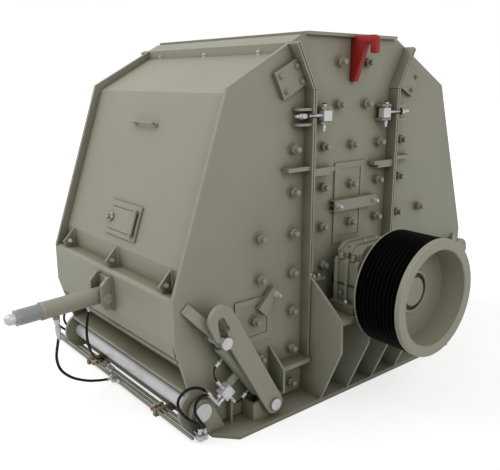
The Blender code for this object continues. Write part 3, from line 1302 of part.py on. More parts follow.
def opening_cylinders():
    """Barrels, rods and hook arms between the base anchors and the housings."""
    start = ANCHOR_PIN[0]
    height = ANCHOR_PIN[1]
    middle = (CYLINDER_X, height)
    eye_ends = (CYLINDER_X - EYE_HALF_WIDTH, CYLINDER_X + EYE_HALF_WIDTH)
    barrel = [
        rod(middle, "y", BARREL_RADIUS, start + BARREL_FOOT, start + BARREL_TOP),
        rod(middle, "y", BARREL_RADIUS * 0.66, start, start + BARREL_FOOT + 0.02),
        rod(ANCHOR_PIN, "x", EYE_RADIUS, *eye_ends, PIN_SIDES),
    ]
    for along in BARREL_PORTS:
        place_at = (CYLINDER_X, start + along)
        barrel.append(
            rod(place_at, "z", BARREL_PORT_RADIUS, height - BARREL_PORT_OUT, height - BARREL_RADIUS * 0.9, 12)
        )
    cuts = [
        rod(middle, "y", ROD_RADIUS + RUNNING, start + BARREL_TOP - ROD_BORE_DEPTH, start + BARREL_TOP + 0.1),
        rod(
            ANCHOR_PIN, "x", bore(PIN_RADIUS, PIN_SIDES), eye_ends[0] - 0.1, eye_ends[1] + 0.1, PIN_SIDES
        ),
    ]
    mesh = joined("barrel", [along_cylinder(s) for s in barrel], [along_cylinder(s) for s in cuts])
    for end_word, end in (("rear", -1), ("front", 1)):
        for side_word, side in (("near", 1), ("far", -1)):
            name = f"{end_word}_{side_word}_barrel"
            pivot = (CYLINDER_X, *ANCHOR_PIN)
            add_part(name, mesh, "body_paint", pivot, signs=(side, end))

    top = start + CYLINDER_LENGTH
    pin_start = CYLINDER_X - EYE_HALF_WIDTH - CHEEK_GAP - CHEEK_THICK
    head = ARM_X + ARM_THICK + HEAD_CLEARANCE
    piston = [
        rod(middle, "y", ROD_RADIUS, top - ROD_INSIDE, top),
        rod((top, height), "x", EYE_RADIUS, *eye_ends, PIN_SIDES),
        rod((top, height), "x", PIN_RADIUS, pin_start, head + PIN_HEAD_THICK / 2.0, PIN_SIDES),
        rod((top, height), "x", PIN_HEAD_RADIUS, head, head + PIN_HEAD_THICK, PIN_SIDES),
    ]
    mesh = joined("rod", [along_cylinder(s) for s in piston])
    for end_word, end in (("rear", -1), ("front", 1)):
        for side_word, side in (("near", 1), ("far", -1)):
            name = f"{end_word}_{side_word}_rod"
            pivot = (CYLINDER_X, *HOUSING_PIN)
            add_part(name, mesh, "bright_steel", pivot, signs=(side, end))

    mesh = hook_arm()
    for end_word, end in (("rear", -1), ("front", 1)):
        for side_word, side in (("near", 1), ("far", -1)):
            name = f"{end_word}_{side_word}_hook_arm"
            add_part(name, mesh, "body_paint", (ARM_X, *ANCHOR_PIN), signs=(side, end))


def pin_path(share):
    """The housing pin seen from the hook arm, as (along, aside) from the arm's pivot.

    share runs from 0 with the housing shut to 1 with it fully open.
    """
    radius = math.dist(HINGE, ANCHOR_PIN)
    half_angle = math.radians(HOUSING_PIN_ANGLE + HOUSING_OPEN_DEG * share) / 2.0
    reach = 2.0 * radius * math.sin(half_angle)
    aside = math.radians(ARM_OFF_ANGLE + (ARM_OPEN_ANGLE - ARM_OFF_ANGLE) * share)
    return (reach * math.cos(aside), reach * math.sin(aside))


def capsule(a, b, radius, steps=5):
    """A closed outline round the run from a to b."""
    angle = math.degrees(math.atan2(b[1] - a[1], b[0] - a[0]))
    return arc(b, radius, angle - 90.0, angle + 90.0, steps) + arc(a, radius, angle + 90.0, angle + 270.0, steps)


def hook_arm():
    """A flat arm with a pocket in its head for the housing pin's path as the housing opens."""
    bar = capsule((0.0, 0.0), (ARM_HEAD[0] - ARM_HALF_WIDTH / 2.0, 0.0), ARM_HALF_WIDTH, 8)
    finger_angle = math.degrees(math.atan2(ARM_TIP[1] - ARM_HEAD[1], ARM_TIP[0] - ARM_HEAD[0]))
    spread = math.degrees(math.acos((ARM_HEAD_RADIUS - ARM_TIP_RADIUS) / math.dist(ARM_HEAD, ARM_TIP)))
    finger = arc(ARM_HEAD, ARM_HEAD_RADIUS, finger_angle + spread, finger_angle + 360.0 - spread, 20)
    finger += arc(ARM_TIP, ARM_TIP_RADIUS, finger_angle - spread, finger_angle + spread, 4)
    shapes = [
        prism(bar, "z", 0.0, ARM_THICK),
        prism(finger, "z", 0.0, ARM_THICK),
    ]
    slot_radius = PIN_RADIUS + ARM_CLEARANCE
    steps = 3
    cuts = []
    for step in range(steps):
        run = capsule(pin_path(step / steps), pin_path((step + 1) / steps), slot_radius)
        cuts.append(prism(run, "z", -ARM_THICK, 2.0 * ARM_THICK))
    shut = pin_path(0.0)
    mouth = capsule(shut, (shut[0] - slot_radius, shut[1] + 2.0 * slot_radius), slot_radius)
    cuts.append(prism(mouth, "z", -ARM_THICK, 2.0 * ARM_THICK))
    pocket = capsule(*ARM_POCKET, ARM_POCKET_RADIUS)
    cuts.append(prism(pocket, "z", -ARM_THICK, 2.0 * ARM_THICK))
    cuts.append(prism(circle((0.0, 0.0), bore(PIN_RADIUS, PIN_SIDES), PIN_SIDES), "z", -ARM_THICK, 2.0 * ARM_THICK))
    angle = math.radians(CYLINDER_ANGLE + ARM_OFF_ANGLE)
    along = (math.cos(angle), math.sin(angle))
    matrix = Matrix(
        (
            (0.0, 0.0, 1.0, ARM_X),
            (along[0], along[1], 0.0, ANCHOR_PIN[0]),
            (along[1], -along[0], 0.0, ANCHOR_PIN[1]),
            (0.0, 0.0, 0.0, 1.0),
        )
    )
    for shape in shapes + cuts:
        bmesh.ops.transform(shape, matrix=matrix, verts=shape.verts)
        bmesh.ops.recalc_face_normals(shape, faces=shape.faces)
    return joined("hook_arm", shapes, cuts)


def pipe_bend(x, low_y, high_y, z):
    """A half turn of pipe that joins two parallel runs at their far end."""
    shape = bmesh.new()
    ring = [shape.verts.new((x, low_y + u, z + v)) for u, v in circle((0.0, 0.0), PIPE_RADIUS, 12)]
    face = shape.faces.new(ring)
    bmesh.ops.spin(
        shape,
        geom=[face],
        cent=(x, (low_y + high_y) / 2.0, z),
        axis=(0.0, 0.0, 1.0),
        angle=math.pi if high_y < low_y else -math.pi,
        steps=8,
        use_merge=False,
    )
    bmesh.ops.remove_doubles(shape, verts=shape.verts, dist=1e-6)
    bmesh.ops.recalc_face_normals(shape, faces=shape.faces)
    return shape


def supply_pipes():
    """Three pipes along the rear foot on two welded bars."""
    shapes = []
    starts = (FAR_END_BLOCK_X[0] + 0.01, PIPE_X[0], PIPE_X[0])
    for y, start in zip(PIPE_ROWS, starts):
        shapes.append(rod((-y, PIPE_Z + PIPE_RADIUS), "x", PIPE_RADIUS, start, PIPE_X[1], 12))
    shapes.append(pipe_bend(PIPE_X[0] + 0.001, -PIPE_ROWS[1], -PIPE_ROWS[2], PIPE_Z + PIPE_RADIUS))
    for x in PIPE_BAR_X:
        shapes.append(
            box(
                (x, x + PIPE_BAR_THICK),
                (-PIPE_BAR_END_Y, -PIPE_BAR_START_Y),
                (0.0, PIPE_BAR_HEIGHT),
            )
        )
    shapes.append(box(PIPE_END_BLOCK_X, PIPE_END_BLOCK_Y, PIPE_END_BLOCK_Z))
    shapes.append(box(FAR_END_BLOCK_X, PIPE_END_BLOCK_Y, PIPE_END_BLOCK_Z))
    low = PIPE_END_BLOCK_Z[0]
    for route in (UPPER_LOOP_ROUTE, LOWER_LOOP_ROUTE, FAR_UPPER_ROUTE, FAR_LOWER_ROUTE):
        x, y, z = route[-1]
        shapes.append(rod((x, y), "z", MAIN_HOSE_RADIUS * 1.3, low, HOSE_SOCKET_TOP, 12))
    half = MAIN_HOSE_RADIUS * 1.4
    x, y, z = FITTING_ROUTE[-1]
    shapes.append(box((x - half, x + half), (y + TOUCH, -PIPE_ROWS[-1]), (z - half, z + half)))
    shapes.append(box((x - half, x + half), (-PIPE_ROWS[-1] - PIPE_RADIUS, -PIPE_ROWS[-1]), (PIPE_Z, z + half)))
    x, y, z = BEAM_ROUTE[-1]
    shapes.append(box((x + TOUCH, x + BEAM_FITTING_LENGTH), (y - half, y + half), (PIPE_Z + PIPE_RADIUS, z + half)))
    add_part("supply_pipes", joined("supply_pipes", shapes), "body_paint")


def hinge_shafts():
    """Bright shafts on which the housings turn, held in the base's hinge blocks."""
    mesh = joined("hinge_shaft", [rod(HINGE, "x", HINGE_RADIUS, -HINGE_HALF_LENGTH, HINGE_HALF_LENGTH)])
    for word, end in (("rear", -1), ("front", 1)):
        add_part(f"{word}_hinge_shaft", mesh, "bright_steel", signs=(1, end))


def on_cylinder(along, out, aside=0.0):
    """A point beside the near rear cylinder, by distances along it, out from it and to its side."""
    angle = math.radians(CYLINDER_ANGLE)
    y = ANCHOR_PIN[0] + along * math.cos(angle) + out * math.sin(angle)
    z = ANCHOR_PIN[1] + along * math.sin(angle) - out * math.cos(angle)
    return (CYLINDER_X + aside, -y, z)


def valve_block():
    """Valve block with its strap, ports and elbows, carried by each rear cylinder."""
    y = ANCHOR_PIN[0]
    z = ANCHOR_PIN[1]
    block = box(
        (VALVE_X - VALVE_HALF_X, VALVE_X + VALVE_HALF_X),
        (y + VALVE_ALONG[0], y + VALVE_ALONG[1]),
        (z - VALVE_OUT[1], z - VALVE_OUT[0]),
    )
    strap = box(
        (CYLINDER_X - VALVE_STRAP_HALF_X, CYLINDER_X + VALVE_STRAP_HALF_X),
        (y + VALVE_STRAP_ALONG[0], y + VALVE_STRAP_ALONG[1]),
        (z - VALVE_OUT[0] - 0.01, z - BARREL_RADIUS - TOUCH),
    )
    ports = rod(
        (VALVE_X, z - VALVE_PORT_OUT),
        "y",
        VALVE_PORT_RADIUS,
        y + VALVE_PORT_ENDS[0],
        y + VALVE_PORT_ENDS[1],
        12,
    )
    shapes = [block, strap, ports]
    for aside in VALVE_ELBOW_X:
        x = VALVE_X + aside
        middle = y + VALVE_ELBOW_ALONG[0] + VALVE_PORT_RADIUS
        shapes.append(
            rod((x, middle), "z", VALVE_PORT_RADIUS, z - VALVE_ELBOW_OUT, z - VALVE_OUT[1] + 0.01, 12)
        )
        shapes.append(
            rod(
                (x, z - VALVE_ELBOW_OUT),
                "y",
                VALVE_PORT_RADIUS,
                y + VALVE_ELBOW_ALONG[0],
                y + VALVE_ELBOW_ALONG[1],
                12,
            )
        )
    mesh = joined("valve_block", [along_cylinder(shape) for shape in shapes])
    for name, side in (("valve_block", 1), ("far_valve_block", -1)):
        add_part(name, mesh, "bright_steel", (CYLINDER_X, *ANCHOR_PIN), signs=(side, -1))


def hoses():
    """Rubber hoses from the pipes to the adjuster and to both rear cylinders."""
    up = (0.0, 0.0, 1.0)
    tilt = math.radians(ADJUSTER_TILT)
    down = (0.0, math.sin(tilt), -math.cos(tilt))
    back = (0.0, -1.0, 0.0)
    far = (-1.0, 0.0, 0.0)
    hose("adjuster_end_hose", FITTING_ROUTE, MAIN_HOSE_RADIUS, down, back)
    hose("adjuster_beam_hose", BEAM_ROUTE, MAIN_HOSE_RADIUS, down, far)
    origin = Vector(on_cylinder(0.0, 0.0))
    along = Vector(on_cylinder(1.0, 0.0)) - origin
    out = Vector(on_cylinder(0.0, 1.0)) - origin
    hose("cylinder_upper_hose", UPPER_LOOP_ROUTE, MAIN_HOSE_RADIUS, along, up)
    hose("cylinder_lower_hose", LOWER_LOOP_ROUTE, MAIN_HOSE_RADIUS, along, up)
    hose("far_upper_hose", FAR_UPPER_ROUTE, MAIN_HOSE_RADIUS, along, up)
    hose("far_lower_hose", FAR_LOWER_ROUTE, MAIN_HOSE_RADIUS, along, up)
    low_port, high_port = BARREL_PORTS
    low_end, high_end = VALVE_PORT_ENDS
    start = BARREL_PORT_OUT + TOUCH
    end = VALVE_PORT_OUT
    aside = VALVE_X - CYLINDER_X
    head = [
        (high_port, start, 0.0),
        (high_port + 0.004, start + 0.034, 0.002),
        (high_port - 0.012, start + 0.066, 0.010),
        (high_port - 0.048, end - 0.001, 0.020),
        (high_end + TOUCH, end, aside),
    ]
    foot = [
        (low_port, start, 0.0),
        (low_port - 0.003, start + 0.034, 0.002),
        (low_port + 0.013, start + 0.066, 0.010),
        (low_port + 0.046, end - 0.001, 0.020),
        (low_end - TOUCH, end, aside),
    ]
    hose("valve_head_hose", [on_cylinder(*spot) for spot in head], SHORT_HOSE_RADIUS, out, along)
    hose("valve_foot_hose", [on_cylinder(*spot) for spot in foot], SHORT_HOSE_RADIUS, out, -along)


def smooth_route(points, spacing):
    """Points at even spacing on a smooth curve through a route's own points."""
    ends = [2.0 * points[0] - points[1], *points, 2.0 * points[-1] - points[-2]]
    fine = []
    for a, b, c, d in zip(ends, ends[1:], ends[2:], ends[3:]):
        for step in range(24):
            t = step / 24.0
            fine.append(
                0.5 * (2.0 * b + (c - a) * t + (2.0 * a - 5.0 * b + 4.0 * c - d) * t * t
                       + (3.0 * b - a - 3.0 * c + d) * t * t * t)
            )
    fine.append(points[-1])
    total = sum((b - a).length for a, b in zip(fine, fine[1:]))
    count = max(4, round(total / spacing))
    wanted = [total * number / count for number in range(count + 1)]
    picked = [fine[0]]
    walked = 0.0
    for a, b in zip(fine, fine[1:]):
        length = (b - a).length
        while len(picked) < count and walked + length >= wanted[len(picked)]:
            share = (wanted[len(picked)] - walked) / length
            picked.append(a.lerp(b, share))
        walked += length
    picked.append(fine[-1])
    return picked


def hose(name, route, radius, start_way, end_way):
    """A plain tube along a smooth curve, with a short straight length at each end."""
    points = [Vector(point) for point in route]
    first = points[0] + Vector(start_way) * HOSE_STRAIGHT
    last = points[-1] + Vector(end_way) * HOSE_STRAIGHT
    spots = [points[0], *smooth_route([first, *points[1:-1], last], radius * 5.0), points[-1]]
    curve = bpy.data.curves.new(name, "CURVE")
    curve.dimensions = "3D"
    curve.bevel_depth = radius
    curve.bevel_resolution = 2
    curve.use_fill_caps = True
    spline = curve.splines.new("POLY")
    spline.points.add(len(spots) - 1)
    for point, spot in zip(spline.points, spots):
        point.co = (*spot, 1.0)
    curve.materials.append(finish("hose_rubber"))
    made = bpy.data.objects.new(name, curve)
    made.parent = bpy.data.objects["machine"]
    bpy.context.scene.collection.objects.link(made)


def main():
    """Clear the scene and build every piece."""
    for old in list(bpy.data.objects):
        bpy.data.objects.remove(old)
    machine = bpy.data.objects.new("machine", None)
    machine.location = (SHIFT_X, 0.0, 0.0)
    bpy.context.scene.collection.objects.link(machine)
    base_frame()
    centre_sections()
    pedestals()
    bearings()
    rotor_group()
    lifting_hooks()
    housing_sides()
    covers()
    beams()
    aprons()
    adjusters()
    opening_cylinders()
    hinge_shafts()
    supply_pipes()
    valve_block()
    hoses()


main()
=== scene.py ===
"""Looks of the impact crusher: paint, bare steel, grooved pulley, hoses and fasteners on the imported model."""

import json
import math

import bmesh
import bpy
from mathutils import Matrix, Vector


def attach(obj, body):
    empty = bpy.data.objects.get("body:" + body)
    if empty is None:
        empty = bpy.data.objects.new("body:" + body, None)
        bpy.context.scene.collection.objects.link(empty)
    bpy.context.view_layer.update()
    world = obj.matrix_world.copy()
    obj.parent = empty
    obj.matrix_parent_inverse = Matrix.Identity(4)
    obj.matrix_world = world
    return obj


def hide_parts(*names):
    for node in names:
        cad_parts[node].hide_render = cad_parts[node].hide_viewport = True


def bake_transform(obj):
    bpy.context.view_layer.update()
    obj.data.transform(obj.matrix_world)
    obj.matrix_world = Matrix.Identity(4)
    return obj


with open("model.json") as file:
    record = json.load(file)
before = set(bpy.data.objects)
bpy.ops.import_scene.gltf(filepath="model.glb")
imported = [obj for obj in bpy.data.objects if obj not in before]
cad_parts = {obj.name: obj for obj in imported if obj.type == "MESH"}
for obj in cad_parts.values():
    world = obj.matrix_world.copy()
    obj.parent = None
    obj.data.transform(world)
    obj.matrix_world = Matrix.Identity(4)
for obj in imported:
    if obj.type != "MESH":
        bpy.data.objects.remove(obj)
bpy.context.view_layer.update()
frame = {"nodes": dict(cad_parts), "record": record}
NODES = frame["nodes"]

# The machine stands this far from the centre of its box along X, because the pulley overhangs
SHIFT = Vector((-0.192, 0.0, 0.0))

# Camera: place, turn and lens that match the photograph
CAMERA_PLACE = (3.42547, -3.15818, 2.11672)
CAMERA_TURN = (75.871, 0.0, 50.553)
CAMERA_LENS = 44.48

# Paint, metal, rubber and plastic colours as linear values
PAINT = (0.345, 0.334, 0.26)
# Painted shade: the colour the paint darkens to in corners and recesses; its random drift of tone leans the
# same way
PAINT_SHADE_AND_DRIFT = (0.12, 0.112, 0.062)
# Painted highlight: the colour the paint lightens to along convex edges
PAINT_EDGE_HIGHLIGHT = (0.43, 0.42, 0.35)
HOOK_RED = (0.33, 0.006, 0.004)
# The red's painted shade in corners, which its random drift also leans to, and its painted highlight on edges
HOOK_RED_SHADE_AND_DRIFT = (0.15, 0.002, 0.002)
HOOK_RED_EDGE_HIGHLIGHT = (0.45, 0.02, 0.015)
STEEL = (0.64, 0.64, 0.645)
# Random dull patches of the steel, and its painted shade in corners
STEEL_DULL_AND_SHADE = (0.4, 0.4, 0.405)
THREAD = (0.31, 0.318, 0.335)
IRON = (0.105, 0.1, 0.096)
# Painted highlight on the edges of the rotor casting
IRON_EDGE_HIGHLIGHT = (0.22, 0.215, 0.205)
RUBBER = (0.006, 0.006, 0.006)
RUBBER_EDGE = (0.02, 0.02, 0.02)
GROOVE_BLACK = (0.0012, 0.0012, 0.0011)
# Dark grey: painted highlight on the groove crests, painted shade in the rotor casting's corners, and the black
# oxide's own colour
GROOVE_EDGE = (0.022, 0.021, 0.018)
CLAMP_ORANGE = (0.56, 0.14, 0.02)
# Painted shade of the orange clamps in their corners, which their random drift also leans to
CLAMP_ORANGE_SHADE_AND_DRIFT = (0.3, 0.055, 0.008)

# Sheet and plate places that the fasteners stand on
SIDE_X = 0.823
SHAFT_Z = 0.813

# Liner bolts: washer, nut and stud
WASHER_RADIUS = 0.034
WASHER_THICK = 0.007
NUT_ACROSS = 0.052
NUT_THICK = 0.034
STUD_RADIUS = 0.018
STUD_REACH = 0.073

# Cylinders: foot pin, the line they lie on and the arm beside them, as (along, height)
ANCHOR_PIN = (0.79, 0.125)
CYLINDER_LINE = Vector((0.0, 0.59172, 0.80614))
CYLINDER_OUT = Vector((0.0, 0.80614, -0.59172))
CYLINDER_X = 0.887
VALVE_X = 0.909
PIN_HEAD_X = 0.991

# Sloping panel of a housing: its top bend, the way down it and the way out of it
PANEL_BEND = Vector((0.0, 0.981, 2.0394))
PANEL_RUN = Vector((0.0, 0.3221, -0.9467))
PANEL_OUT = Vector((0.0, 0.9467, 0.3221))

# Adjuster tube: its hinge pin, tilt and the places along it
ADJUSTER_PIN = Vector((0.0, 1.4583, 0.735))
ADJUSTER_TILT = 2.5
ADJUSTER_TUBE_END = 1.875
SPINDLE_END = 2.03
SPINDLE_TIP = 2.092

# Pulley: the places along the shaft and the radii
PULLEY_X = (1.24, 1.584)
PULLEY_RADIUS = 0.373
PULLEY_BORE = 0.305
PULLEY_WEB = (1.372, 1.402)
GROOVE_COUNT = 10
GROOVE_START = 1.252
GROOVE_END = 1.55
GROOVE_DEPTH = 0.019
SHAFT_START = -1.2

# Hoses: their radii and the points that they pass through
MAIN_HOSE_RADIUS = 0.009
SHORT_HOSE_RADIUS = 0.005
HOSE_STRAIGHT = 0.01
END_HOSE_ROUTE = (
    (0.0, -1.7667, 0.5311), (-0.001, -1.779, 0.465), (-0.004, -1.791, 0.375),
    (-0.016, -1.764, 0.28), (-0.035, -1.685, 0.193), (-0.064, -1.568, 0.12),
    (-0.096, -1.462, 0.075), (-0.119, -1.403, 0.053), (-0.12, -1.364, 0.05),
)
BEAM_HOSE_ROUTE = (
    (0.0, -1.554, 0.6728), (-0.006, -1.562, 0.6), (-0.022, -1.568, 0.5),
    (-0.0378, -1.558, 0.412), (-0.0682, -1.535, 0.3504), (-0.1274, -1.495, 0.2759),
    (-0.2042, -1.44, 0.2006), (-0.29, -1.38, 0.141), (-0.345, -1.328, 0.109),
    (-0.372, -1.302, 0.085), (-0.356, -1.284, 0.068),
)
UPPER_LOOP_ROUTE = (
    (0.8965, -1.2438, 0.3137), (0.9, -1.258, 0.333), (0.904, -1.3141, 0.377),
    (0.905, -1.3916, 0.3908), (0.904, -1.4482, 0.3561), (0.902, -1.4535, 0.2973),
    (0.899, -1.4137, 0.2286), (0.895, -1.357, 0.17), (0.888, -1.311, 0.125),
    (0.8825, -1.297, 0.092), (0.882, -1.296, 0.0625),
)
LOWER_LOOP_ROUTE = (
    (0.9215, -1.2438, 0.3137), (0.9225, -1.255, 0.323), (0.923, -1.3062, 0.327),
    (0.921, -1.347, 0.2929), (0.917, -1.3503, 0.2381), (0.911, -1.32, 0.1759),
    (0.9, -1.28, 0.1196), (0.8925, -1.2655, 0.09), (0.891, -1.265, 0.0625),
)
FAR_UPPER_ROUTE = (
    (-0.8965, -1.2438, 0.3137), (-0.903, -1.258, 0.333), (-0.922, -1.3141, 0.37),
    (-0.942, -1.385, 0.365), (-0.96, -1.425, 0.31), (-0.985, -1.41, 0.23),
    (-1.02, -1.35, 0.15), (-1.042, -1.3, 0.1), (-1.043, -1.294, 0.0625),
)
FAR_LOWER_ROUTE = (
    (-0.9215, -1.2438, 0.3137), (-0.926, -1.255, 0.323), (-0.94, -1.3, 0.325),
    (-0.955, -1.335, 0.285), (-0.978, -1.335, 0.22), (-1.006, -1.3, 0.15),
    (-1.025, -1.268, 0.098), (-1.026, -1.264, 0.0625),
)
# Along the barrel, out from its line, and to its side
HEAD_HOSE_ROUTE = (
    (0.5, 0.0803, 0.0), (0.504, 0.1143, 0.002), (0.488, 0.1463, 0.01),
    (0.452, 0.167, 0.02), (0.4103, 0.168, 0.022),
)
FOOT_HOSE_ROUTE = (
    (0.163, 0.0803, 0.0), (0.16, 0.1143, 0.002), (0.176, 0.1463, 0.01),
    (0.209, 0.167, 0.02), (0.2457, 0.168, 0.022),
)


def in_scene(name, data):
    """A new object in the scene."""
    made = bpy.data.objects.new(name, data)
    bpy.context.scene.collection.objects.link(made)
    return made


def camera():
    """Camera at the photograph's place."""
    data = bpy.data.cameras.new("camera")
    data.sensor_width = 36.0
    data.lens = CAMERA_LENS
    data.clip_start = 0.05
    data.clip_end = 200.0
    made = in_scene("camera", data)
    made.location = CAMERA_PLACE
    made.rotation_euler = [math.radians(angle) for angle in CAMERA_TURN]
    bpy.context.scene.camera = made


camera()


def surface(name):
    """A new material with its Principled shader."""
    made = bpy.data.materials.new(name)
    made.use_nodes = True
    return made, made.node_tree, made.node_tree.nodes["Principled BSDF"]


def group(name, inputs, outputs):
    """A new shader node group with named sockets."""
    made = bpy.data.node_groups.new(name, "ShaderNodeTree")
    for label, kind, value in inputs:
        socket = made.interface.new_socket(name=label, in_out="INPUT", socket_type=kind)
        socket.default_value = value
    for label, kind in outputs:
        made.interface.new_socket(name=label, in_out="OUTPUT", socket_type=kind)
    return made, made.nodes.new("NodeGroupInput"), made.nodes.new("NodeGroupOutput")


def maths(tree, operation, first, second, clamp=False):
    """A Math node; each of its two values is a socket or a number."""
    node = tree.nodes.new("ShaderNodeMath")
    node.operation = operation
    node.use_clamp = clamp
    for socket, value in zip(node.inputs, (first, second)):
        if isinstance(value, (int, float)):
            socket.default_value = value
        else:
            tree.links.new(value, socket)
    return node.outputs[0]


def colour_mix(tree, share, first, second):
    """A colour Mix node between two colour sockets."""
    node = tree.nodes.new("ShaderNodeMix")
    node.data_type = "RGBA"
    tree.links.new(share, node.inputs["Factor"])
    tree.links.new(first, node.inputs["A"])
    tree.links.new(second, node.inputs["B"])
    return node.outputs["Result"]


def spread(tree, value, low, high, start=0.0, end=1.0):
    """A Map Range node from one span to another."""
    node = tree.nodes.new("ShaderNodeMapRange")
    tree.links.new(value, node.inputs["Value"])
    for label, number in (("From Min", start), ("From Max", end), ("To Min", low), ("To Max", high)):
        node.inputs[label].default_value = number
    return node.outputs["Result"]


def noise(tree, where, scale, detail):
    """A noise texture; its scale is a number or a socket."""
    node = tree.nodes.new("ShaderNodeTexNoise")
    node.inputs["Detail"].default_value = detail
    tree.links.new(where, node.inputs["Vector"])
    if isinstance(scale, (int, float)):
        node.inputs["Scale"].default_value = scale
    else:
        tree.links.new(scale, node.inputs["Scale"])
    return node.outputs["Fac"]


def sprayed_finish_and_painted_light():
    """Group for a sprayed or moulded skin: slow drift of tone, orange peel, painted shade in corners and
    painted highlights on edges.
    """
    made, given, out = group(
        "sprayed_finish_and_painted_light",
        [
            ("Paint", "NodeSocketColor", (*PAINT, 1.0)),
            ("Shade and drift", "NodeSocketColor", (*PAINT_SHADE_AND_DRIFT, 1.0)),
            ("Edge", "NodeSocketColor", (*PAINT_EDGE_HIGHLIGHT, 1.0)),
            ("Openness", "NodeSocketFloat", 1.0),
            ("Edge highlight", "NodeSocketFloat", 0.0),
            ("Drift", "NodeSocketFloat", 0.1),
            ("Peel", "NodeSocketFloat", 260.0),
        ],
        [("Color", "NodeSocketColor"), ("Roughness", "NodeSocketFloat"), ("Height", "NodeSocketFloat")],
    )
    links = made.links
    where = made.nodes.new("ShaderNodeTexCoord").outputs["Object"]
    cloud = noise(made, where, 1.7, 5.0)
    speck = noise(made, where, 38.0, 3.0)
    grain = noise(made, where, given.outputs["Peel"], 2.0)
    # Painted shade: where the surface is closed in, the colour darkens towards the shade colour; the slow drift
    # adds random tone
    closed = maths(made, "SUBTRACT", 1.0, given.outputs["Openness"])
    drift = maths(made, "MULTIPLY", cloud, given.outputs["Drift"])
    shade_and_drift = maths(made, "ADD", closed, drift, clamp=True)
    base = colour_mix(made, shade_and_drift, given.outputs["Paint"], given.outputs["Shade and drift"])
    # Painted highlight: near convex edges the colour lightens towards the edge colour, broken up by speckle
    # noise
    broken = spread(made, speck, 0.35, 1.0, 0.4, 0.62)
    edge_highlight = maths(made, "MULTIPLY", given.outputs["Edge highlight"], broken, clamp=True)
    links.new(colour_mix(made, edge_highlight, base, given.outputs["Edge"]), out.inputs["Color"])
    dull = maths(made, "ADD", maths(made, "MULTIPLY", grain, 0.4), cloud)
    links.new(spread(made, dull, 0.4, 0.62, 0.2, 1.2), out.inputs["Roughness"])
    links.new(grain, out.inputs["Height"])
    return made


def turned_finish_and_painted_shade():
    """Group for bare metal: fine tool lines, dull patches and painted shade in corners."""
    made, given, out = group(
        "turned_finish_and_painted_shade",
        [
            ("Metal", "NodeSocketColor", (*STEEL, 1.0)),
            ("Dull and shade", "NodeSocketColor", (*STEEL_DULL_AND_SHADE, 1.0)),
            ("Openness", "NodeSocketFloat", 1.0),
            ("Lines", "NodeSocketFloat", 300.0),
        ],
        [("Color", "NodeSocketColor"), ("Roughness", "NodeSocketFloat"), ("Height", "NodeSocketFloat")],
    )
    links = made.links
    where = made.nodes.new("ShaderNodeTexCoord").outputs["Object"]
    patch = noise(made, where, 9.0, 4.0)
    line = noise(made, where, given.outputs["Lines"], 3.0)
    # Painted shade: where the surface is closed in, the metal darkens towards the dull colour
    closed = maths(made, "SUBTRACT", 1.0, given.outputs["Openness"])
    share = maths(made, "ADD", spread(made, patch, 0.0, 0.35, 0.45, 0.75), closed, clamp=True)
    mixed = colour_mix(made, share, given.outputs["Metal"], given.outputs["Dull and shade"])
    links.new(mixed, out.inputs["Color"])
    links.new(spread(made, line, 0.3, 0.48), out.inputs["Roughness"])
    links.new(line, out.inputs["Height"])
    return made


def sampled(tree, distance, inside):
    """How open the surface is near a point, or with inside set, how thick it is behind."""
    node = tree.nodes.new("ShaderNodeAmbientOcclusion")
    node.inputs["Distance"].default_value = distance
    node.samples = 6
    node.inside = inside
    return node.outputs["AO"]


def finish_with(name, tree, colours, grain, metallic, strength, corner=0.0, edge=0.0, shine=0.5):
    """A material whose colour, roughness and bump come from one of the groups."""
    made, own, shader = surface(name)
    links = own.links
    used = own.nodes.new("ShaderNodeGroup")
    used.node_tree = tree
    for socket, colour in zip(used.inputs, colours):
        socket.default_value = (*colour, 1.0)
    used.inputs[len(used.inputs) - 1].default_value = grain
    links.new(used.outputs["Color"], shader.inputs["Base Color"])
    links.new(used.outputs["Roughness"], shader.inputs["Roughness"])
    shader.inputs["Metallic"].default_value = metallic
    # Painted shade: corner sets how far the darkening in corners and recesses reaches
    if corner:
        wide = spread(own, sampled(own, corner, False), 0.0, 1.0, 0.2, 1.0)
        tight = spread(own, sampled(own, corner * 0.2, False), 0.45, 1.0, 0.1, 0.85)
        links.new(maths(own, "MULTIPLY", wide, tight), used.inputs["Openness"])
    # Painted highlight: edge sets how near a convex edge the lightening sits
    if edge:
        edge_highlight = spread(own, sampled(own, edge, True), 0.55, 0.0, 0.45, 0.95)
        links.new(edge_highlight, used.inputs["Edge highlight"])
    bump = own.nodes.new("ShaderNodeBump")
    bump.inputs["Strength"].default_value = strength
    bump.inputs["Distance"].default_value = 0.0004
    links.new(used.outputs["Height"], bump.inputs["Height"])
    links.new(bump.outputs["Normal"], shader.inputs["Normal"])
    shader.inputs["Specular IOR Level"].default_value = shine
    return made


SPRAYED = sprayed_finish_and_painted_light()
TURNED = turned_finish_and_painted_shade()
# Each set: base colour, painted shade colour that the random drift also leans to, and painted edge highlight
# colour
KHAKI = (PAINT, PAINT_SHADE_AND_DRIFT, PAINT_EDGE_HIGHLIGHT)
RED = (HOOK_RED, HOOK_RED_SHADE_AND_DRIFT, HOOK_RED_EDGE_HIGHLIGHT)
CAST = (IRON, GROOVE_EDGE, IRON_EDGE_HIGHLIGHT)
BLACK = (RUBBER, GROOVE_BLACK, RUBBER_EDGE)
ORANGE = (CLAMP_ORANGE, CLAMP_ORANGE_SHADE_AND_DRIFT, CLAMP_ORANGE)
GROOVE = (GROOVE_BLACK, GROOVE_BLACK, GROOVE_EDGE)
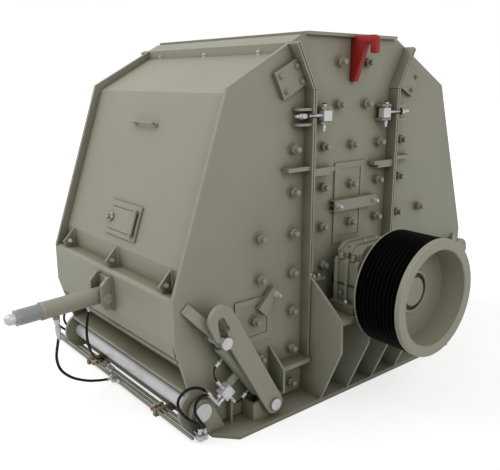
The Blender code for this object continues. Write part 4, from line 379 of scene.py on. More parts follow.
# corner gives a material painted shade in its corners, and edge gives it painted highlights on its edges
PAINTED = finish_with("khaki_paint", SPRAYED, KHAKI, 260.0, 0.0, 0.25, corner=0.15, edge=0.005)
STEELY = finish_with("bare_steel", TURNED, (STEEL, STEEL_DULL_AND_SHADE), 300.0, 0.35, 0.15, corner=0.03)
THREADED = finish_with("thread_steel", TURNED, (THREAD, STEEL_DULL_AND_SHADE), 300.0, 0.3, 0.2, corner=0.008)
BLACK_OXIDE = finish_with("black_oxide", TURNED, (GROOVE_EDGE, GROOVE_BLACK), 400.0, 0.2, 0.1)
CLAMP_PLASTIC = finish_with("clamp_plastic", SPRAYED, ORANGE, 500.0, 0.0, 0.15, corner=0.02)
HOSE_SKIN = finish_with("hose_rubber", SPRAYED, BLACK, 900.0, 0.0, 0.2, shine=0.15)
GROOVED = finish_with("groove_lining", SPRAYED, GROOVE, 700.0, 0.0, 0.15, edge=0.004, shine=0.03)
RED_PAINT = finish_with("hook_red_paint", SPRAYED, RED, 260.0, 0.0, 0.2, corner=0.05, edge=0.004)
ROTOR_CAST = finish_with("rotor_casting", SPRAYED, CAST, 120.0, 0.35, 0.6, corner=0.1, edge=0.006)
MATERIALS = {
    "body_paint": PAINTED,
    "hook_red": RED_PAINT,
    "bright_steel": STEELY,
    "thread_steel": THREADED,
    "rotor_steel": ROTOR_CAST,
    "hose_rubber": HOSE_SKIN,
}
# The slot of each finish that pieces are made in
SLOTS = {made: slot for slot, made in MATERIALS.items()}
SLOTS.update({BLACK_OXIDE: "body_paint", CLAMP_PLASTIC: "body_paint", GROOVED: "body_paint"})
SLOT_OF = {row["node"]: row["material_slot"] for row in frame["record"]["subparts"]}


def dress_nodes():
    """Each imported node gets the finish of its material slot."""
    for name, node in NODES.items():
        node.data.materials.clear()
        node.data.materials.append(MATERIALS[SLOT_OF[name]])


def made_piece(name, mesh, material, body, replaced=(), sharp=35.0):
    """A finished piece: its place is in its mesh, it rides on a body, and it has one finish."""
    mesh.materials.clear()
    mesh.materials.append(material)
    mesh.shade_smooth()
    mesh.set_sharp_from_angle(angle=math.radians(sharp))
    made = in_scene(name, mesh)
    if body:
        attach(made, body)
    if replaced:
        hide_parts(*replaced)
    return made


def piece(name, shape, material, body, replaced=(), sharp=35.0):
    """A piece from a shape drawn in the machine's own frame."""
    bmesh.ops.translate(shape, vec=SHIFT, verts=shape.verts)
    mesh = bpy.data.meshes.new(name)
    shape.to_mesh(mesh)
    shape.free()
    return made_piece(name, mesh, material, body, replaced, sharp)


def joined(*sources):
    """One bmesh that holds all of the given ones."""
    target = bmesh.new()
    for source in sources:
        spare = bpy.data.meshes.new("spare")
        source.to_mesh(spare)
        source.free()
        target.from_mesh(spare)
        bpy.data.meshes.remove(spare)
    return target


def round_edges(shape, width, segments=2, above=30.0):
    """Bevels the edges that turn by more than an angle."""
    least = math.radians(above)
    edges = [edge for edge in shape.edges if edge.is_manifold and edge.calc_face_angle(0.0) > least]
    bmesh.ops.bevel(
        shape,
        geom=edges,
        offset=width,
        offset_type="OFFSET",
        segments=segments,
        profile=0.5,
        affect="EDGES",
        material=-1,
        clamp_overlap=True,
    )
    return shape


def rod(radius, start, end, sides=24, edge=0.0):
    """A closed round bar along Z, with rounded ends where an edge width is given."""
    shape = bmesh.new()
    bmesh.ops.create_cone(
        shape,
        cap_ends=True,
        segments=sides,
        radius1=radius,
        radius2=radius,
        depth=end - start,
        matrix=Matrix.Translation((0.0, 0.0, (start + end) / 2.0)),
    )
    return round_edges(shape, edge, 2, 50.0) if edge else shape


def hexagon(across, start, end, edge=0.002):
    """A hexagon bar along Z with chamfered edges."""
    return rod(across / math.sqrt(3.0), start, end, 6, edge)


def block(low, high, edge=0.0):
    """A box between two corners, with rounded edges where a width is given."""
    shape = bmesh.new()
    bmesh.ops.create_cube(shape, size=1.0)
    low = Vector(low)
    high = Vector(high)
    bmesh.ops.scale(shape, vec=high - low, verts=shape.verts)
    bmesh.ops.translate(shape, vec=(low + high) / 2.0, verts=shape.verts)
    return round_edges(shape, edge) if edge else shape


def spun(profile, sides=64):
    """A closed solid of revolution about Z, from a closed profile of (radius, height) points."""
    shape = bmesh.new()
    verts = [shape.verts.new((radius, 0.0, height)) for radius, height in profile]
    edges = [shape.edges.new(pair) for pair in zip(verts, verts[1:] + verts[:1])]
    bmesh.ops.spin(
        shape,
        geom=verts + edges,
        cent=(0.0, 0.0, 0.0),
        axis=(0.0, 0.0, 1.0),
        angle=2.0 * math.pi,
        steps=sides,
        use_merge=True,
    )
    bmesh.ops.remove_doubles(shape, verts=shape.verts, dist=1e-6)
    bmesh.ops.recalc_face_normals(shape, faces=shape.faces)
    return shape


def placed(shape, place, direction, spin=0.0):
    """Turns a shape made along Z to a direction and moves it to its place."""
    turn = Vector(direction).to_track_quat("Z", "Y").to_matrix().to_4x4()
    matrix = Matrix.Translation(Vector(place)) @ turn @ Matrix.Rotation(math.radians(spin), 4, "Z")
    bmesh.ops.transform(shape, matrix=matrix, verts=shape.verts)
    return shape


def laid(shape, place, run, out):
    """Turns a shape drawn with Y along a line and Z out from it, and moves it to its place."""
    turn = Matrix(((1.0, 0.0, 0.0), (0.0, run.y, out.y), (0.0, run.z, out.z))).to_4x4()
    bmesh.ops.transform(shape, matrix=Matrix.Translation(place) @ turn, verts=shape.verts)
    bmesh.ops.recalc_face_normals(shape, faces=shape.faces)
    return shape


def mirrored(shape, across, along):
    """The shape on the other side or at the other end of the machine, where a sign is negative."""
    if across < 0.0 or along < 0.0:
        bmesh.ops.transform(shape, matrix=Matrix.Diagonal((across, along, 1.0, 1.0)), verts=shape.verts)
        bmesh.ops.recalc_face_normals(shape, faces=shape.faces)
    return shape


def fitted(name, shapes, side, end, material, body):
    """Several shapes as one piece, mirrored to their side and end of the machine."""
    shape = joined(*[mirrored(shape, side, end) for shape in shapes])
    piece(name, shape, material, body)


X_WAY = (1.0, 0.0, 0.0)
Y_WAY = (0.0, 1.0, 0.0)
Z_WAY = (0.0, 0.0, 1.0)
SIDES = (("near", 1.0), ("far", -1.0))
ENDS = (("rear", -1.0), ("front", 1.0))
CORNERS = [(*side, *end) for side in SIDES for end in ENDS]


def smooth_route(points, spacing):
    """Points at even spacing on a smooth curve through a route's own points."""
    ends = [2.0 * points[0] - points[1], *points, 2.0 * points[-1] - points[-2]]
    fine = []
    for a, b, c, d in zip(ends, ends[1:], ends[2:], ends[3:]):
        for step in range(24):
            t = step / 24.0
            fine.append(
                0.5 * (2.0 * b + (c - a) * t + (2.0 * a - 5.0 * b + 4.0 * c - d) * t * t
                       + (3.0 * b - a - 3.0 * c + d) * t * t * t)
            )
    fine.append(points[-1])
    total = sum((b - a).length for a, b in zip(fine, fine[1:]))
    count = max(4, round(total / spacing))
    wanted = [total * number / count for number in range(count + 1)]
    picked = [fine[0]]
    walked = 0.0
    for a, b in zip(fine, fine[1:]):
        length = (b - a).length
        while len(picked) < count and walked + length >= wanted[len(picked)]:
            share = (wanted[len(picked)] - walked) / length
            picked.append(a.lerp(b, share))
        walked += length
    return picked + [fine[-1]]


def ferrule(radius, length):
    """Crimped sleeve with two pressed rings and a union nut, along Z from the hose's end inwards."""
    sleeve = spun(
        [
            (radius * 0.98, 0.0), (radius * 1.3, 0.0), (radius * 1.3, length * 0.22),
            (radius * 1.18, length * 0.26), (radius * 1.18, length * 0.4), (radius * 1.32, length * 0.44),
            (radius * 1.32, length * 0.58), (radius * 1.18, length * 0.62), (radius * 1.18, length * 0.76),
            (radius * 1.32, length * 0.8), (radius * 1.32, length * 0.95), (radius * 1.22, length),
            (radius * 0.98, length),
        ],
        20,
    )
    return joined(sleeve, hexagon(radius * 2.9, -radius * 0.2, length * 0.2, 0.0008))


def hose(name, route, radius, start_way, end_way, bodies):
    """A rubber hose with its crimped ends; where it runs from one body to another, each end's sleeve rides on
    its own body and the hose rides on neither.
    """
    points = [Vector(point) + SHIFT for point in route]
    start_way = Vector(start_way).normalized()
    end_way = Vector(end_way).normalized()
    first = points[0] + start_way * HOSE_STRAIGHT
    last = points[-1] + end_way * HOSE_STRAIGHT
    path = [points[0], *smooth_route([first, *points[1:-1], last], radius * 2.5), points[-1]]
    curve = bpy.data.curves.new(name, "CURVE")
    curve.dimensions = "3D"
    curve.bevel_depth = radius
    curve.bevel_resolution = 5
    curve.use_fill_caps = True
    spline = curve.splines.new("POLY")
    spline.points.add(len(path) - 1)
    for point, spot in zip(spline.points, path):
        point.co = (*spot, 1.0)
    drawn = in_scene(name + "_line", curve)
    graph = bpy.context.evaluated_depsgraph_get()
    mesh = bpy.data.meshes.new_from_object(drawn.evaluated_get(graph))
    bpy.data.objects.remove(drawn)
    start_body, end_body = bodies
    single = start_body == end_body
    carrier = start_body if single else None
    made = made_piece(name, mesh, HOSE_SKIN, carrier, (name_of_node(name),), 50.0)
    if not single:
        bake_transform(made)
    sleeve = 1.7 if single else 1.0
    for word, spot, way, body in (
        ("start", points[0], start_way, start_body),
        ("end", points[-1], end_way, end_body),
    ):
        shape = placed(ferrule(radius * sleeve, radius * sleeve * 3.6), spot - SHIFT, way)
        piece(f"{name}_{word}_ferrule", shape, STEELY, body)


def name_of_node(name):
    """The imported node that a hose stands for."""
    return name.replace("_rubber", "")


def on_cylinder(along, out, aside=0.0):
    """A point beside the near rear cylinder, by the way along it, out from it and to its side."""
    spot = along * CYLINDER_LINE + out * CYLINDER_OUT
    return Vector((CYLINDER_X + aside, -ANCHOR_PIN[0] - spot.y, ANCHOR_PIN[1] + spot.z))


def hoses():
    """The eight hoses of the adjuster and the two rear cylinders."""
    tilt = math.radians(ADJUSTER_TILT)
    down = (0.0, math.sin(tilt), -math.cos(tilt))
    along = on_cylinder(1.0, 0.0) - on_cylinder(0.0, 0.0)
    out = on_cylinder(0.0, 1.0) - on_cylinder(0.0, 0.0)
    head = [on_cylinder(*spot) for spot in HEAD_HOSE_ROUTE]
    foot = [on_cylinder(*spot) for spot in FOOT_HOSE_ROUTE]
    moving = ("rear_housing", "base")
    near = ("rear_near_cylinder", "base")
    far = ("rear_far_cylinder", "base")
    carried = ("rear_near_cylinder", "rear_near_cylinder")
    for name, route, radius, start_way, end_way, bodies, lay in (
        ("adjuster_end", END_HOSE_ROUTE, MAIN_HOSE_RADIUS, down, (0.0, -1.0, 0.0), moving, "hanging"),
        ("adjuster_beam", BEAM_HOSE_ROUTE, MAIN_HOSE_RADIUS, down, (-1.0, 0.0, 0.0), moving, "hanging"),
        ("cylinder_upper", UPPER_LOOP_ROUTE, MAIN_HOSE_RADIUS, along, Z_WAY, near, "loose"),
        ("cylinder_lower", LOWER_LOOP_ROUTE, MAIN_HOSE_RADIUS, along, Z_WAY, near, "loose"),
        ("far_upper", FAR_UPPER_ROUTE, MAIN_HOSE_RADIUS, along, Z_WAY, far, "loose"),
        ("far_lower", FAR_LOWER_ROUTE, MAIN_HOSE_RADIUS, along, Z_WAY, far, "loose"),
        ("valve_head", head, SHORT_HOSE_RADIUS, out, along, carried, "loose"),
        ("valve_foot", foot, SHORT_HOSE_RADIUS, out, -along, carried, "loose"),
    ):
        hose(f"{name}_hose_rubber", route, radius, start_way, end_way, bodies)


hoses()


def liner_bolt():
    """Washer, hexagon nut with its chamfer, and the stud's rounded end."""
    return joined(
        rod(WASHER_RADIUS, 0.0, WASHER_THICK, 28, 0.0015),
        hexagon(NUT_ACROSS, WASHER_THICK, WASHER_THICK + NUT_THICK, 0.003),
        rod(STUD_RADIUS, WASHER_THICK, STUD_REACH, 20, 0.004),
    )


def small_bolt(across, height, stud=0.0):
    """Thin washer and hexagon head, with a stud's end above it where one is given."""
    foot = across * 0.1
    parts = [rod(across * 0.62, 0.0, foot, 20, 0.0006), hexagon(across, foot, height, across * 0.06)]
    if stud:
        parts.append(rod(across * 0.3, foot, stud, 14, 0.0012))
    return joined(*parts)


# Liner bolts on one side of the machine: (across, height, rise of what they stand on)
CENTRE_BOLTS = (
    (-0.13, 2.226, 0.0), (0.13, 2.226, 0.0), (-0.132, 1.961, 0.0), (0.132, 1.961, 0.0),
    (-0.26, 1.698, 0.0), (0.01, 1.698, 0.0), (0.285, 1.698, 0.0),
    (-0.26, 1.435, 0.0), (0.01, 1.435, 0.005), (0.285, 1.435, 0.0),
    (-0.26, 1.171, 0.0), (0.01, 1.171, 0.005), (0.285, 1.171, 0.0),
    (-0.245, 0.907, 0.0), (0.245, 0.907, 0.0),
)
HOUSING_BOLTS = (
    (0.525, 1.7, 0.0), (0.525, 1.435, 0.0), (0.525, 1.17, 0.0), (0.525, 0.911, 0.0),
    (0.525, 0.648, 0.0), (0.525, 0.388, 0.0), (0.525, 0.137, 0.0),
    (0.795, 1.177, 0.0), (0.795, 0.913, 0.0), (0.84, 0.652, 0.005), (0.795, 0.385, 0.0),
)


def liner_bolts():
    """Liner bolts on both sides, those of each section in one piece."""
    for side_word, side in SIDES:
        for section, body, along, spots in (
            ("centre", "base", 1.0, CENTRE_BOLTS),
            ("rear", "rear_housing", -1.0, HOUSING_BOLTS),
            ("front", "front_housing", 1.0, HOUSING_BOLTS),
        ):
            bolts = []
            for number, (across, height, rise) in enumerate(spots):
                place = (side * (SIDE_X + rise), along * across, height)
                bolts.append(placed(liner_bolt(), place, (side, 0.0, 0.0), 17.0 * number))
            piece(f"{side_word}_{section}_liner_bolts", joined(*bolts), PAINTED, body)


def spring_plate_bolts():
    """Four small bolts on each square plate at the upper corners of the housing sides."""
    turn = math.radians(153.0)
    along = (math.cos(turn), math.sin(turn))
    across = (-along[1], along[0])
    for side_word, side, end_word, end in CORNERS:
        bolts = []
        for u in (-0.068, 0.068):
            for v in (-0.05, 0.05):
                y = 0.566 + u * along[0] + v * across[0]
                z = 2.121 + u * along[1] + v * across[1]
                place = (SIDE_X + 0.03, y, z)
                bolts.append(placed(small_bolt(0.027, 0.013, 0.021), place, X_WAY, 40.0 * u / v))
        name = f"{end_word}_{side_word}_spring_plate_bolts"
        fitted(name, bolts, side, end, PAINTED, f"{end_word}_housing")


def clamp_nuts():
    """Bright nuts and threaded ends that hold the centre door's bar and the hatch clamps."""
    for side_word, side in SIDES:
        nuts = []
        for y in (-0.15, 0.215):
            nut = joined(
                rod(0.019, 0.055, 0.058, 24, 0.0008),
                hexagon(0.03, 0.058, 0.074, 0.0016),
                rod(0.0118, 0.07, 0.0965, 16, 0.0015),
                rod(0.015, 0.074, 0.08, 20, 0.001),
            )
            nuts.append(placed(nut, (SIDE_X, y, 1.3), X_WAY, 12.0))
        fitted(f"{side_word}_clamp_bar_nuts", nuts, side, 1.0, STEELY, "base")
        for end_word, end in ENDS:
            nut = joined(
                rod(0.021, 0.045, 0.049, 24, 0.0008),
                hexagon(0.032, 0.049, 0.067, 0.0016),
                rod(0.0118, 0.065, 0.0965, 16, 0.0015),
            )
            nut = placed(nut, (SIDE_X, 0.687, 0.806), X_WAY, 25.0)
            name = f"{end_word}_{side_word}_hatch_nut"
            fitted(name, [nut], side, end, STEELY, f"{end_word}_housing")


def swing_bolts():
    """Swing bolts that clamp the seams: eye block on its pin, shank, black washer and long nut."""
    x = SIDE_X + 0.056
    z = 1.9
    for side_word, side, end_word, end in CORNERS:
        bright = [
            block((x - 0.024, 0.254, z - 0.036), (x + 0.024, 0.327, z + 0.03), 0.003),
            placed(rod(0.0095, 0.0, 0.14, 16), (x, 0.325, z), Y_WAY),
            placed(rod(0.0105, -0.1, 0.062, 16, 0.002), (x, 0.305, z), Z_WAY),
            placed(hexagon(0.026, -0.002, 0.01, 0.0015), (x, 0.305, z + 0.058), Z_WAY),
            placed(hexagon(0.024, 0.0, 0.014, 0.0015), (x, 0.305, z - 0.078), Z_WAY),
            placed(hexagon(0.032, 0.0, 0.036, 0.002), (x, 0.462, z), Y_WAY, 20.0),
            placed(rod(0.0185, 0.0, 0.006, 24, 0.001), (x, 0.497, z), Y_WAY),
            placed(hexagon(0.027, 0.0, 0.02, 0.0015), (x, 0.503, z), Y_WAY, 45.0),
            placed(rod(0.01, 0.0, 0.026, 16, 0.002), (x, 0.523, z), Y_WAY),
        ]
        dark = [
            placed(rod(0.023, 0.0, 0.01, 24, 0.001), (x, 0.452, z), Y_WAY),
            placed(rod(0.013, 0.0, 0.008, 20, 0.001), (x, 0.305, z + 0.068), Z_WAY),
        ]
        name = f"{end_word}_{side_word}_swing_bolt"
        fitted(name, bright, side, end, STEELY, "base")
        fitted(f"{name}_washers", dark, side, end, BLACK_OXIDE, "base")


def seam_bolts():
    """Bright bolts through both seam strips above the small plates."""
    for side_word, side, end_word, end in CORNERS:
        head = placed(small_bolt(0.026, 0.018), (SIDE_X + 0.048, 0.3925, 0.868), (0.0, -1.0, 0.0))
        nuts = [
            placed(small_bolt(0.024, 0.016, 0.022), (SIDE_X + 0.035, 0.29, 0.835), Z_WAY),
            placed(small_bolt(0.024, 0.016, 0.022), (SIDE_X + 0.035, 0.335, 0.835), Z_WAY, 20.0),
        ]
        corner = f"{end_word}_{side_word}"
        fitted(f"{corner}_seam_bolt", [head], side, end, STEELY, "base")
        fitted(f"{corner}_small_plate_bolts", nuts, side, end, STEELY, "base")


def strip_joints():
    """Dark joint lines where each upright seam strip meets its sloping one."""
    for side_word, side in SIDES:
        lines = [
            block((SIDE_X + 0.0008, y, 2.0552), (SIDE_X + 0.0794, y + 0.0128, 2.0588))
            for y in (0.3926, -0.4054)
        ]
        fitted(f"{side_word}_strip_joints", lines, side, 1.0, BLACK_OXIDE, "base")


def arc(centre, radius, start, end, steps=8):
    """Points of an arc, with angles in degrees."""
    angles = [math.radians(start + (end - start) * step / steps) for step in range(steps + 1)]
    return [(centre[0] + radius * math.cos(angle), centre[1] + radius * math.sin(angle)) for angle in angles]


def plate(outline, low, high, edge=0.0):
    """An outline drawn in X and Z, made into a plate across Y."""
    shape = bmesh.new()
    face = shape.faces.new([shape.verts.new((x, low, z)) for x, z in outline])
    made = bmesh.ops.extrude_face_region(shape, geom=[face])
    moved = [item for item in made["geom"] if isinstance(item, bmesh.types.BMVert)]
    bmesh.ops.translate(shape, vec=(0.0, high - low, 0.0), verts=moved)
    bmesh.ops.recalc_face_normals(shape, faces=shape.faces)
    return round_edges(shape, edge, 2, 40.0) if edge else shape


def lifting_hooks():
    """Red lifting hooks: tapered leg on the side plate and a rounded finger over the throat."""
    wall = SIDE_X + 0.0003
    outline = [(wall, 2.104), (wall + 0.04, 2.104)]
    outline += arc((0.9655, 2.319), 0.02, 160.0, 0.0, 10)
    outline += arc((0.9975, 2.289), 0.012, 180.0, 270.0, 4)
    outline += arc((1.018, 2.289), 0.012, 270.0, 360.0, 4)
    outline += arc((1.002, 2.36), 0.028, 0.0, 90.0, 6)
    outline += [(wall + 0.032, 2.388), (wall, 2.358)]
    for side_word, side in SIDES:
        shape = mirrored(plate(outline, -0.02, 0.02, 0.0025), side, 1.0)
        name = f"{side_word}_lifting_hook"
        piece(f"{name}_shape", shape, RED_PAINT, "base", (name,), 30.0)


def roof_clips():
    """Three bright clips along the lower edge of each roof cap."""
    for end_word, end in ENDS:
        clips = []
        for x in (-0.624, -0.047, 0.539):
            clips += [
                block((x - 0.013, 0.552, 2.262), (x + 0.013, 0.556, 2.296), 0.0012),
                placed(rod(0.008, 0.0, 0.012, 14, 0.001), (x, 0.556, 2.285), Y_WAY),
                placed(rod(0.0045, -0.013, 0.013, 12, 0.001), (x, 0.562, 2.266), X_WAY),
            ]
        fitted(f"{end_word}_roof_clips", clips, 1.0, end, STEELY, "base")


def on_panel(shape, x, down, out):
    """Lays a shape drawn with Z out of the panel and Y down it at a place on the rear panel."""
    spot = PANEL_BEND + down * PANEL_RUN + out * PANEL_OUT
    return laid(shape, (x, spot.y, spot.z), PANEL_RUN, PANEL_OUT)


def door_fittings():
    """Star knob of each inspection door, and the collars of the lifting handle above it."""
    for end_word, end in ENDS:
        parts = [rod(0.0215, 0.022, 0.03, 24, 0.002), rod(0.012, 0.018, 0.04, 16, 0.002)]
        for number in range(5):
            turn = math.radians(72.0 * number + 12.0)
            lobe = rod(0.0085, 0.024, 0.036, 14, 0.002)
            spot = (0.0215 * math.cos(turn), 0.0215 * math.sin(turn), 0.0)
            bmesh.ops.translate(lobe, vec=spot, verts=lobe.verts)
            parts.append(lobe)
        knob = on_panel(joined(*parts), -0.135, 0.874, 0.0)
        fitted(f"{end_word}_door_knob", [knob], 1.0, end, STEELY, f"{end_word}_door")
        collars = []
        for x in (-0.15, 0.11):
            collar = joined(rod(0.016, 0.0, 0.005, 20, 0.001), rod(0.011, 0.005, 0.012, 20, 0.002))
            collars.append(on_panel(collar, x, 0.22, 0.0))
        name = f"{end_word}_handle_collars"
        fitted(name, collars, 1.0, end, PAINTED, f"{end_word}_housing")


def tilted(shape):
    """Turns a shape drawn along the level adjuster by the adjuster's droop about its pin."""
    turn = Matrix.Rotation(math.radians(-ADJUSTER_TILT), 4, "X")
    matrix = Matrix.Translation(ADJUSTER_PIN) @ turn @ Matrix.Translation(-ADJUSTER_PIN)
    bmesh.ops.transform(shape, matrix=matrix, verts=shape.verts)
    return shape


def adjuster_spindles():
    """Threaded spindles with their bright tips, in place of the plain ones."""
    start = ADJUSTER_TUBE_END - 0.18
    profile = [(0.0, start), (0.0508, start), (0.0508, ADJUSTER_TUBE_END + 0.004)]
    height = ADJUSTER_TUBE_END + 0.006
    while height < SPINDLE_END - 0.022:
        profile += [(0.047, height), (0.047, height + 0.0022)]
        profile += [(0.0508, height + 0.0052), (0.0508, height + 0.0092)]
        height += 0.0118
    profile += [(0.047, height), (0.047, SPINDLE_END - 0.01), (0.0508, SPINDLE_END - 0.007)]
    profile += [(0.0508, SPINDLE_END - 0.002), (0.049, SPINDLE_END), (0.0, SPINDLE_END)]
    tip_profile = [
        (0.0, SPINDLE_END - 0.01), (0.035, SPINDLE_END - 0.01), (0.035, SPINDLE_END + 0.036),
        (0.0338, SPINDLE_END + 0.0405), (0.023, SPINDLE_TIP - 0.006), (0.019, SPINDLE_TIP - 0.001),
        (0.015, SPINDLE_TIP - 0.0003), (0.0, SPINDLE_TIP - 0.0003),
    ]
    for end_word, end in ENDS:
        name = f"{end_word}_adjuster_spindle"
        for word, outline, material, gone in (
            ("thread", profile, THREADED, (name,)),
            ("tip", tip_profile, STEELY, ()),
        ):
            shape = placed(spun(outline, 56), (0.0, 0.0, ADJUSTER_PIN.z), Y_WAY)
            shape = mirrored(tilted(shape), 1.0, end)
            piece(f"{end_word}_spindle_{word}", shape, material, f"{end_word}_spindle", gone, 28.0)


def adjuster_fittings():
    """Bright union under each adjuster's port and the end ring of its tube."""
    for end_word, end in ENDS:
        union = joined(
            hexagon(0.036, 0.63, 0.656, 0.002),
            rod(0.015, 0.6, 0.632, 20, 0.001),
            hexagon(0.033, 0.572, 0.602, 0.002),
            rod(0.015, 0.5445, 0.574, 20, 0.002),
        )
        bmesh.ops.translate(union, vec=(0.0, 1.775, 0.0), verts=union.verts)
        collar = [(0.0515, 1.851), (0.0585, 1.851), (0.0585, 1.872), (0.057, 1.8755), (0.0515, 1.8755)]
        collar = placed(spun(collar, 48), (0.0, 0.0, ADJUSTER_PIN.z), Y_WAY)
        name = f"{end_word}_adjuster"
        body = f"{end_word}_housing"
        fitted(f"{name}_union", [tilted(union)], 1.0, end, STEELY, body)
        fitted(f"{name}_collar", [tilted(collar)], 1.0, end, PAINTED, body)


def clevis_bolts():
    """Bolts in the corners of each adjuster's foot plate and a ring on its pin."""
    for end_word, end in ENDS:
        bolts = []
        for x in (-0.052, 0.052):
            bolts.append(placed(small_bolt(0.022, 0.012, 0.018), (x, 1.4353, 0.672), Y_WAY, 15.0))
        for x in (-1.0, 1.0):
            bolts.append(placed(rod(0.036, 0.1, 0.1035, 28, 0.001), ADJUSTER_PIN, (x, 0.0, 0.0)))
        name = f"{end_word}_clevis_fasteners"
        fitted(name, bolts, 1.0, end, PAINTED, f"{end_word}_housing")


def on_shaft(shape, x=0.0, across=0.0, height=SHAFT_Z):
    """Lays a shape made along Z on the rotor's axis, or at another place on it."""
    return placed(shape, (x, across, height), X_WAY)


def pulley():
    """Grooved pulley: painted rim, web and hub, and the black lining of its grooves."""
    back, front = PULLEY_X
    web_back, web_front = PULLEY_WEB
    body = [
        (0.0812, back + 0.1), (0.118, back + 0.1), (0.126, back + 0.108), (0.126, web_back - 0.012),
        (0.14, web_back), (PULLEY_BORE - 0.018, web_back), (PULLEY_BORE, web_back - 0.018),
        (PULLEY_BORE, back + 0.006), (PULLEY_BORE + 0.006, back), (PULLEY_RADIUS - 0.002, back),
        (PULLEY_RADIUS, back + 0.002), (PULLEY_RADIUS, GROOVE_START - 0.001),
        (PULLEY_RADIUS - 0.03, GROOVE_START), (PULLEY_RADIUS - 0.03, GROOVE_END),
        (PULLEY_RADIUS, GROOVE_END + 0.001), (PULLEY_RADIUS, front - 0.003),
        (PULLEY_RADIUS - 0.003, front), (PULLEY_BORE + 0.006, front), (PULLEY_BORE, front - 0.006),
        (PULLEY_BORE, web_front + 0.02), (PULLEY_BORE - 0.006, web_front + 0.006),
        (PULLEY_BORE - 0.02, web_front), (0.152, web_front), (0.146, web_front + 0.003),
        (0.143, web_front + 0.012), (0.139, web_front + 0.014), (0.124, web_front + 0.014),
        (0.121, web_front + 0.011), (0.121, web_front - 0.006), (0.0812, web_front - 0.006),
    ]
    rim = on_shaft(spun(body, 96))
    piece("pulley_rim", rim, PAINTED, "rotor_group", ("drive_pulley",), 30.0)

    pitch = (GROOVE_END - GROOVE_START) / GROOVE_COUNT
    low = PULLEY_RADIUS - GROOVE_DEPTH
    foot = PULLEY_RADIUS - 0.0298
    crown = PULLEY_RADIUS - 0.0012
    flank = PULLEY_RADIUS - 0.003
    lining = [(foot, GROOVE_START + 0.0003), (crown, GROOVE_START + 0.0003)]
    for number in range(GROOVE_COUNT):
        start = GROOVE_START + pitch * number
        lining += [
            (crown, start + pitch * 0.07), (flank, start + pitch * 0.12),
            (low, start + pitch * 0.34), (low, start + pitch * 0.66),
            (flank, start + pitch * 0.88), (crown, start + pitch * 0.93),
        ]
    lining += [(crown, GROOVE_END - 0.0003), (foot, GROOVE_END - 0.0003)]
    grooves = on_shaft(spun(lining, 96))
    piece("pulley_grooves", grooves, GROOVED, "rotor_group", (), 20.0)

    disc = spun(
        [
            (0.0, web_front - 0.0055), (0.092, web_front - 0.0055), (0.095, web_front - 0.002),
            (0.095, web_front + 0.012), (0.091, web_front + 0.016), (0.0, web_front + 0.016),
        ],
        64,
    )
    piece("shaft_end_disc", on_shaft(disc), PAINTED, "rotor_group", (), 30.0)
    shaft = on_shaft(rod(0.08, SHAFT_START, web_front - 0.007, 48, 0.004))
    piece("turned_shaft", shaft, STEELY, "rotor_group", ("rotor_shaft",))
    gap = spun([(0.0955, 0.0), (0.1205, 0.0), (0.1205, 0.003), (0.0955, 0.003)], 64)
    hole = rod(0.01, 0.0, 0.0006, 20)
    dark = joined(on_shaft(hole, web_front, -0.0531, 0.5979), on_shaft(gap, web_front - 0.0058))
    piece("hub_gap_and_hole", dark, BLACK_OXIDE, "rotor_group")


def ring_plate(outline, bore, start, end):
    """A plate along X round the shaft: its outline is (across, height), and a round bore goes through it."""
    corners = [math.atan2(height - SHAFT_Z, across) for across, height in outline]
    corners += [math.radians(10.0 * step) for step in range(-17, 19)]
    angles = sorted(set(round(angle, 5) for angle in corners))
    rims = []
    for angle in angles:
        way = (math.cos(angle), math.sin(angle))
        reach = 0.0
        for (y0, z0), (y1, z1) in zip(outline, outline[1:] + outline[:1]):
            dy, dz = y1 - y0, z1 - z0
            cross = way[0] * dz - way[1] * dy
            if abs(cross) < 1e-9:
                continue
            share = (way[0] * (SHAFT_Z - z0) + way[1] * y0) / cross
            far = (y0 * dz - (z0 - SHAFT_Z) * dy) / cross
            if -1e-6 <= share <= 1.000001 and far > 0.0:
                reach = max(reach, far)
        rims.append((way, reach))
    shape = bmesh.new()
    loops = []
    for x in (start, end):
        for size in (bore, None):
            loops.append(
                [shape.verts.new((x, w[0] * (size or r), SHAFT_Z + w[1] * (size or r))) for w, r in rims]
            )
    inner_low, outer_low, inner_high, outer_high = loops
    around = [inner_low, outer_low, outer_high, inner_high, inner_low]
    count = len(rims)
    for first, second in zip(around, around[1:]):
        for step in range(count):
            after = (step + 1) % count
            shape.faces.new((first[step], first[after], second[after], second[step]))
    bmesh.ops.recalc_face_normals(shape, faces=shape.faces)
    return shape


def bearing_outline(side, top):
    """Outline of a bearing casting: walls, bolt shoulders and the cap over them."""
    half = [(side, 0.696), (side, 0.962), (side - 0.014, 0.986), (0.205, 0.986), (0.205, top - 0.046)]
    half += [(0.166, top - 0.006), (0.13, top)]
    return half + [(-across, height) for across, height in reversed(half)]


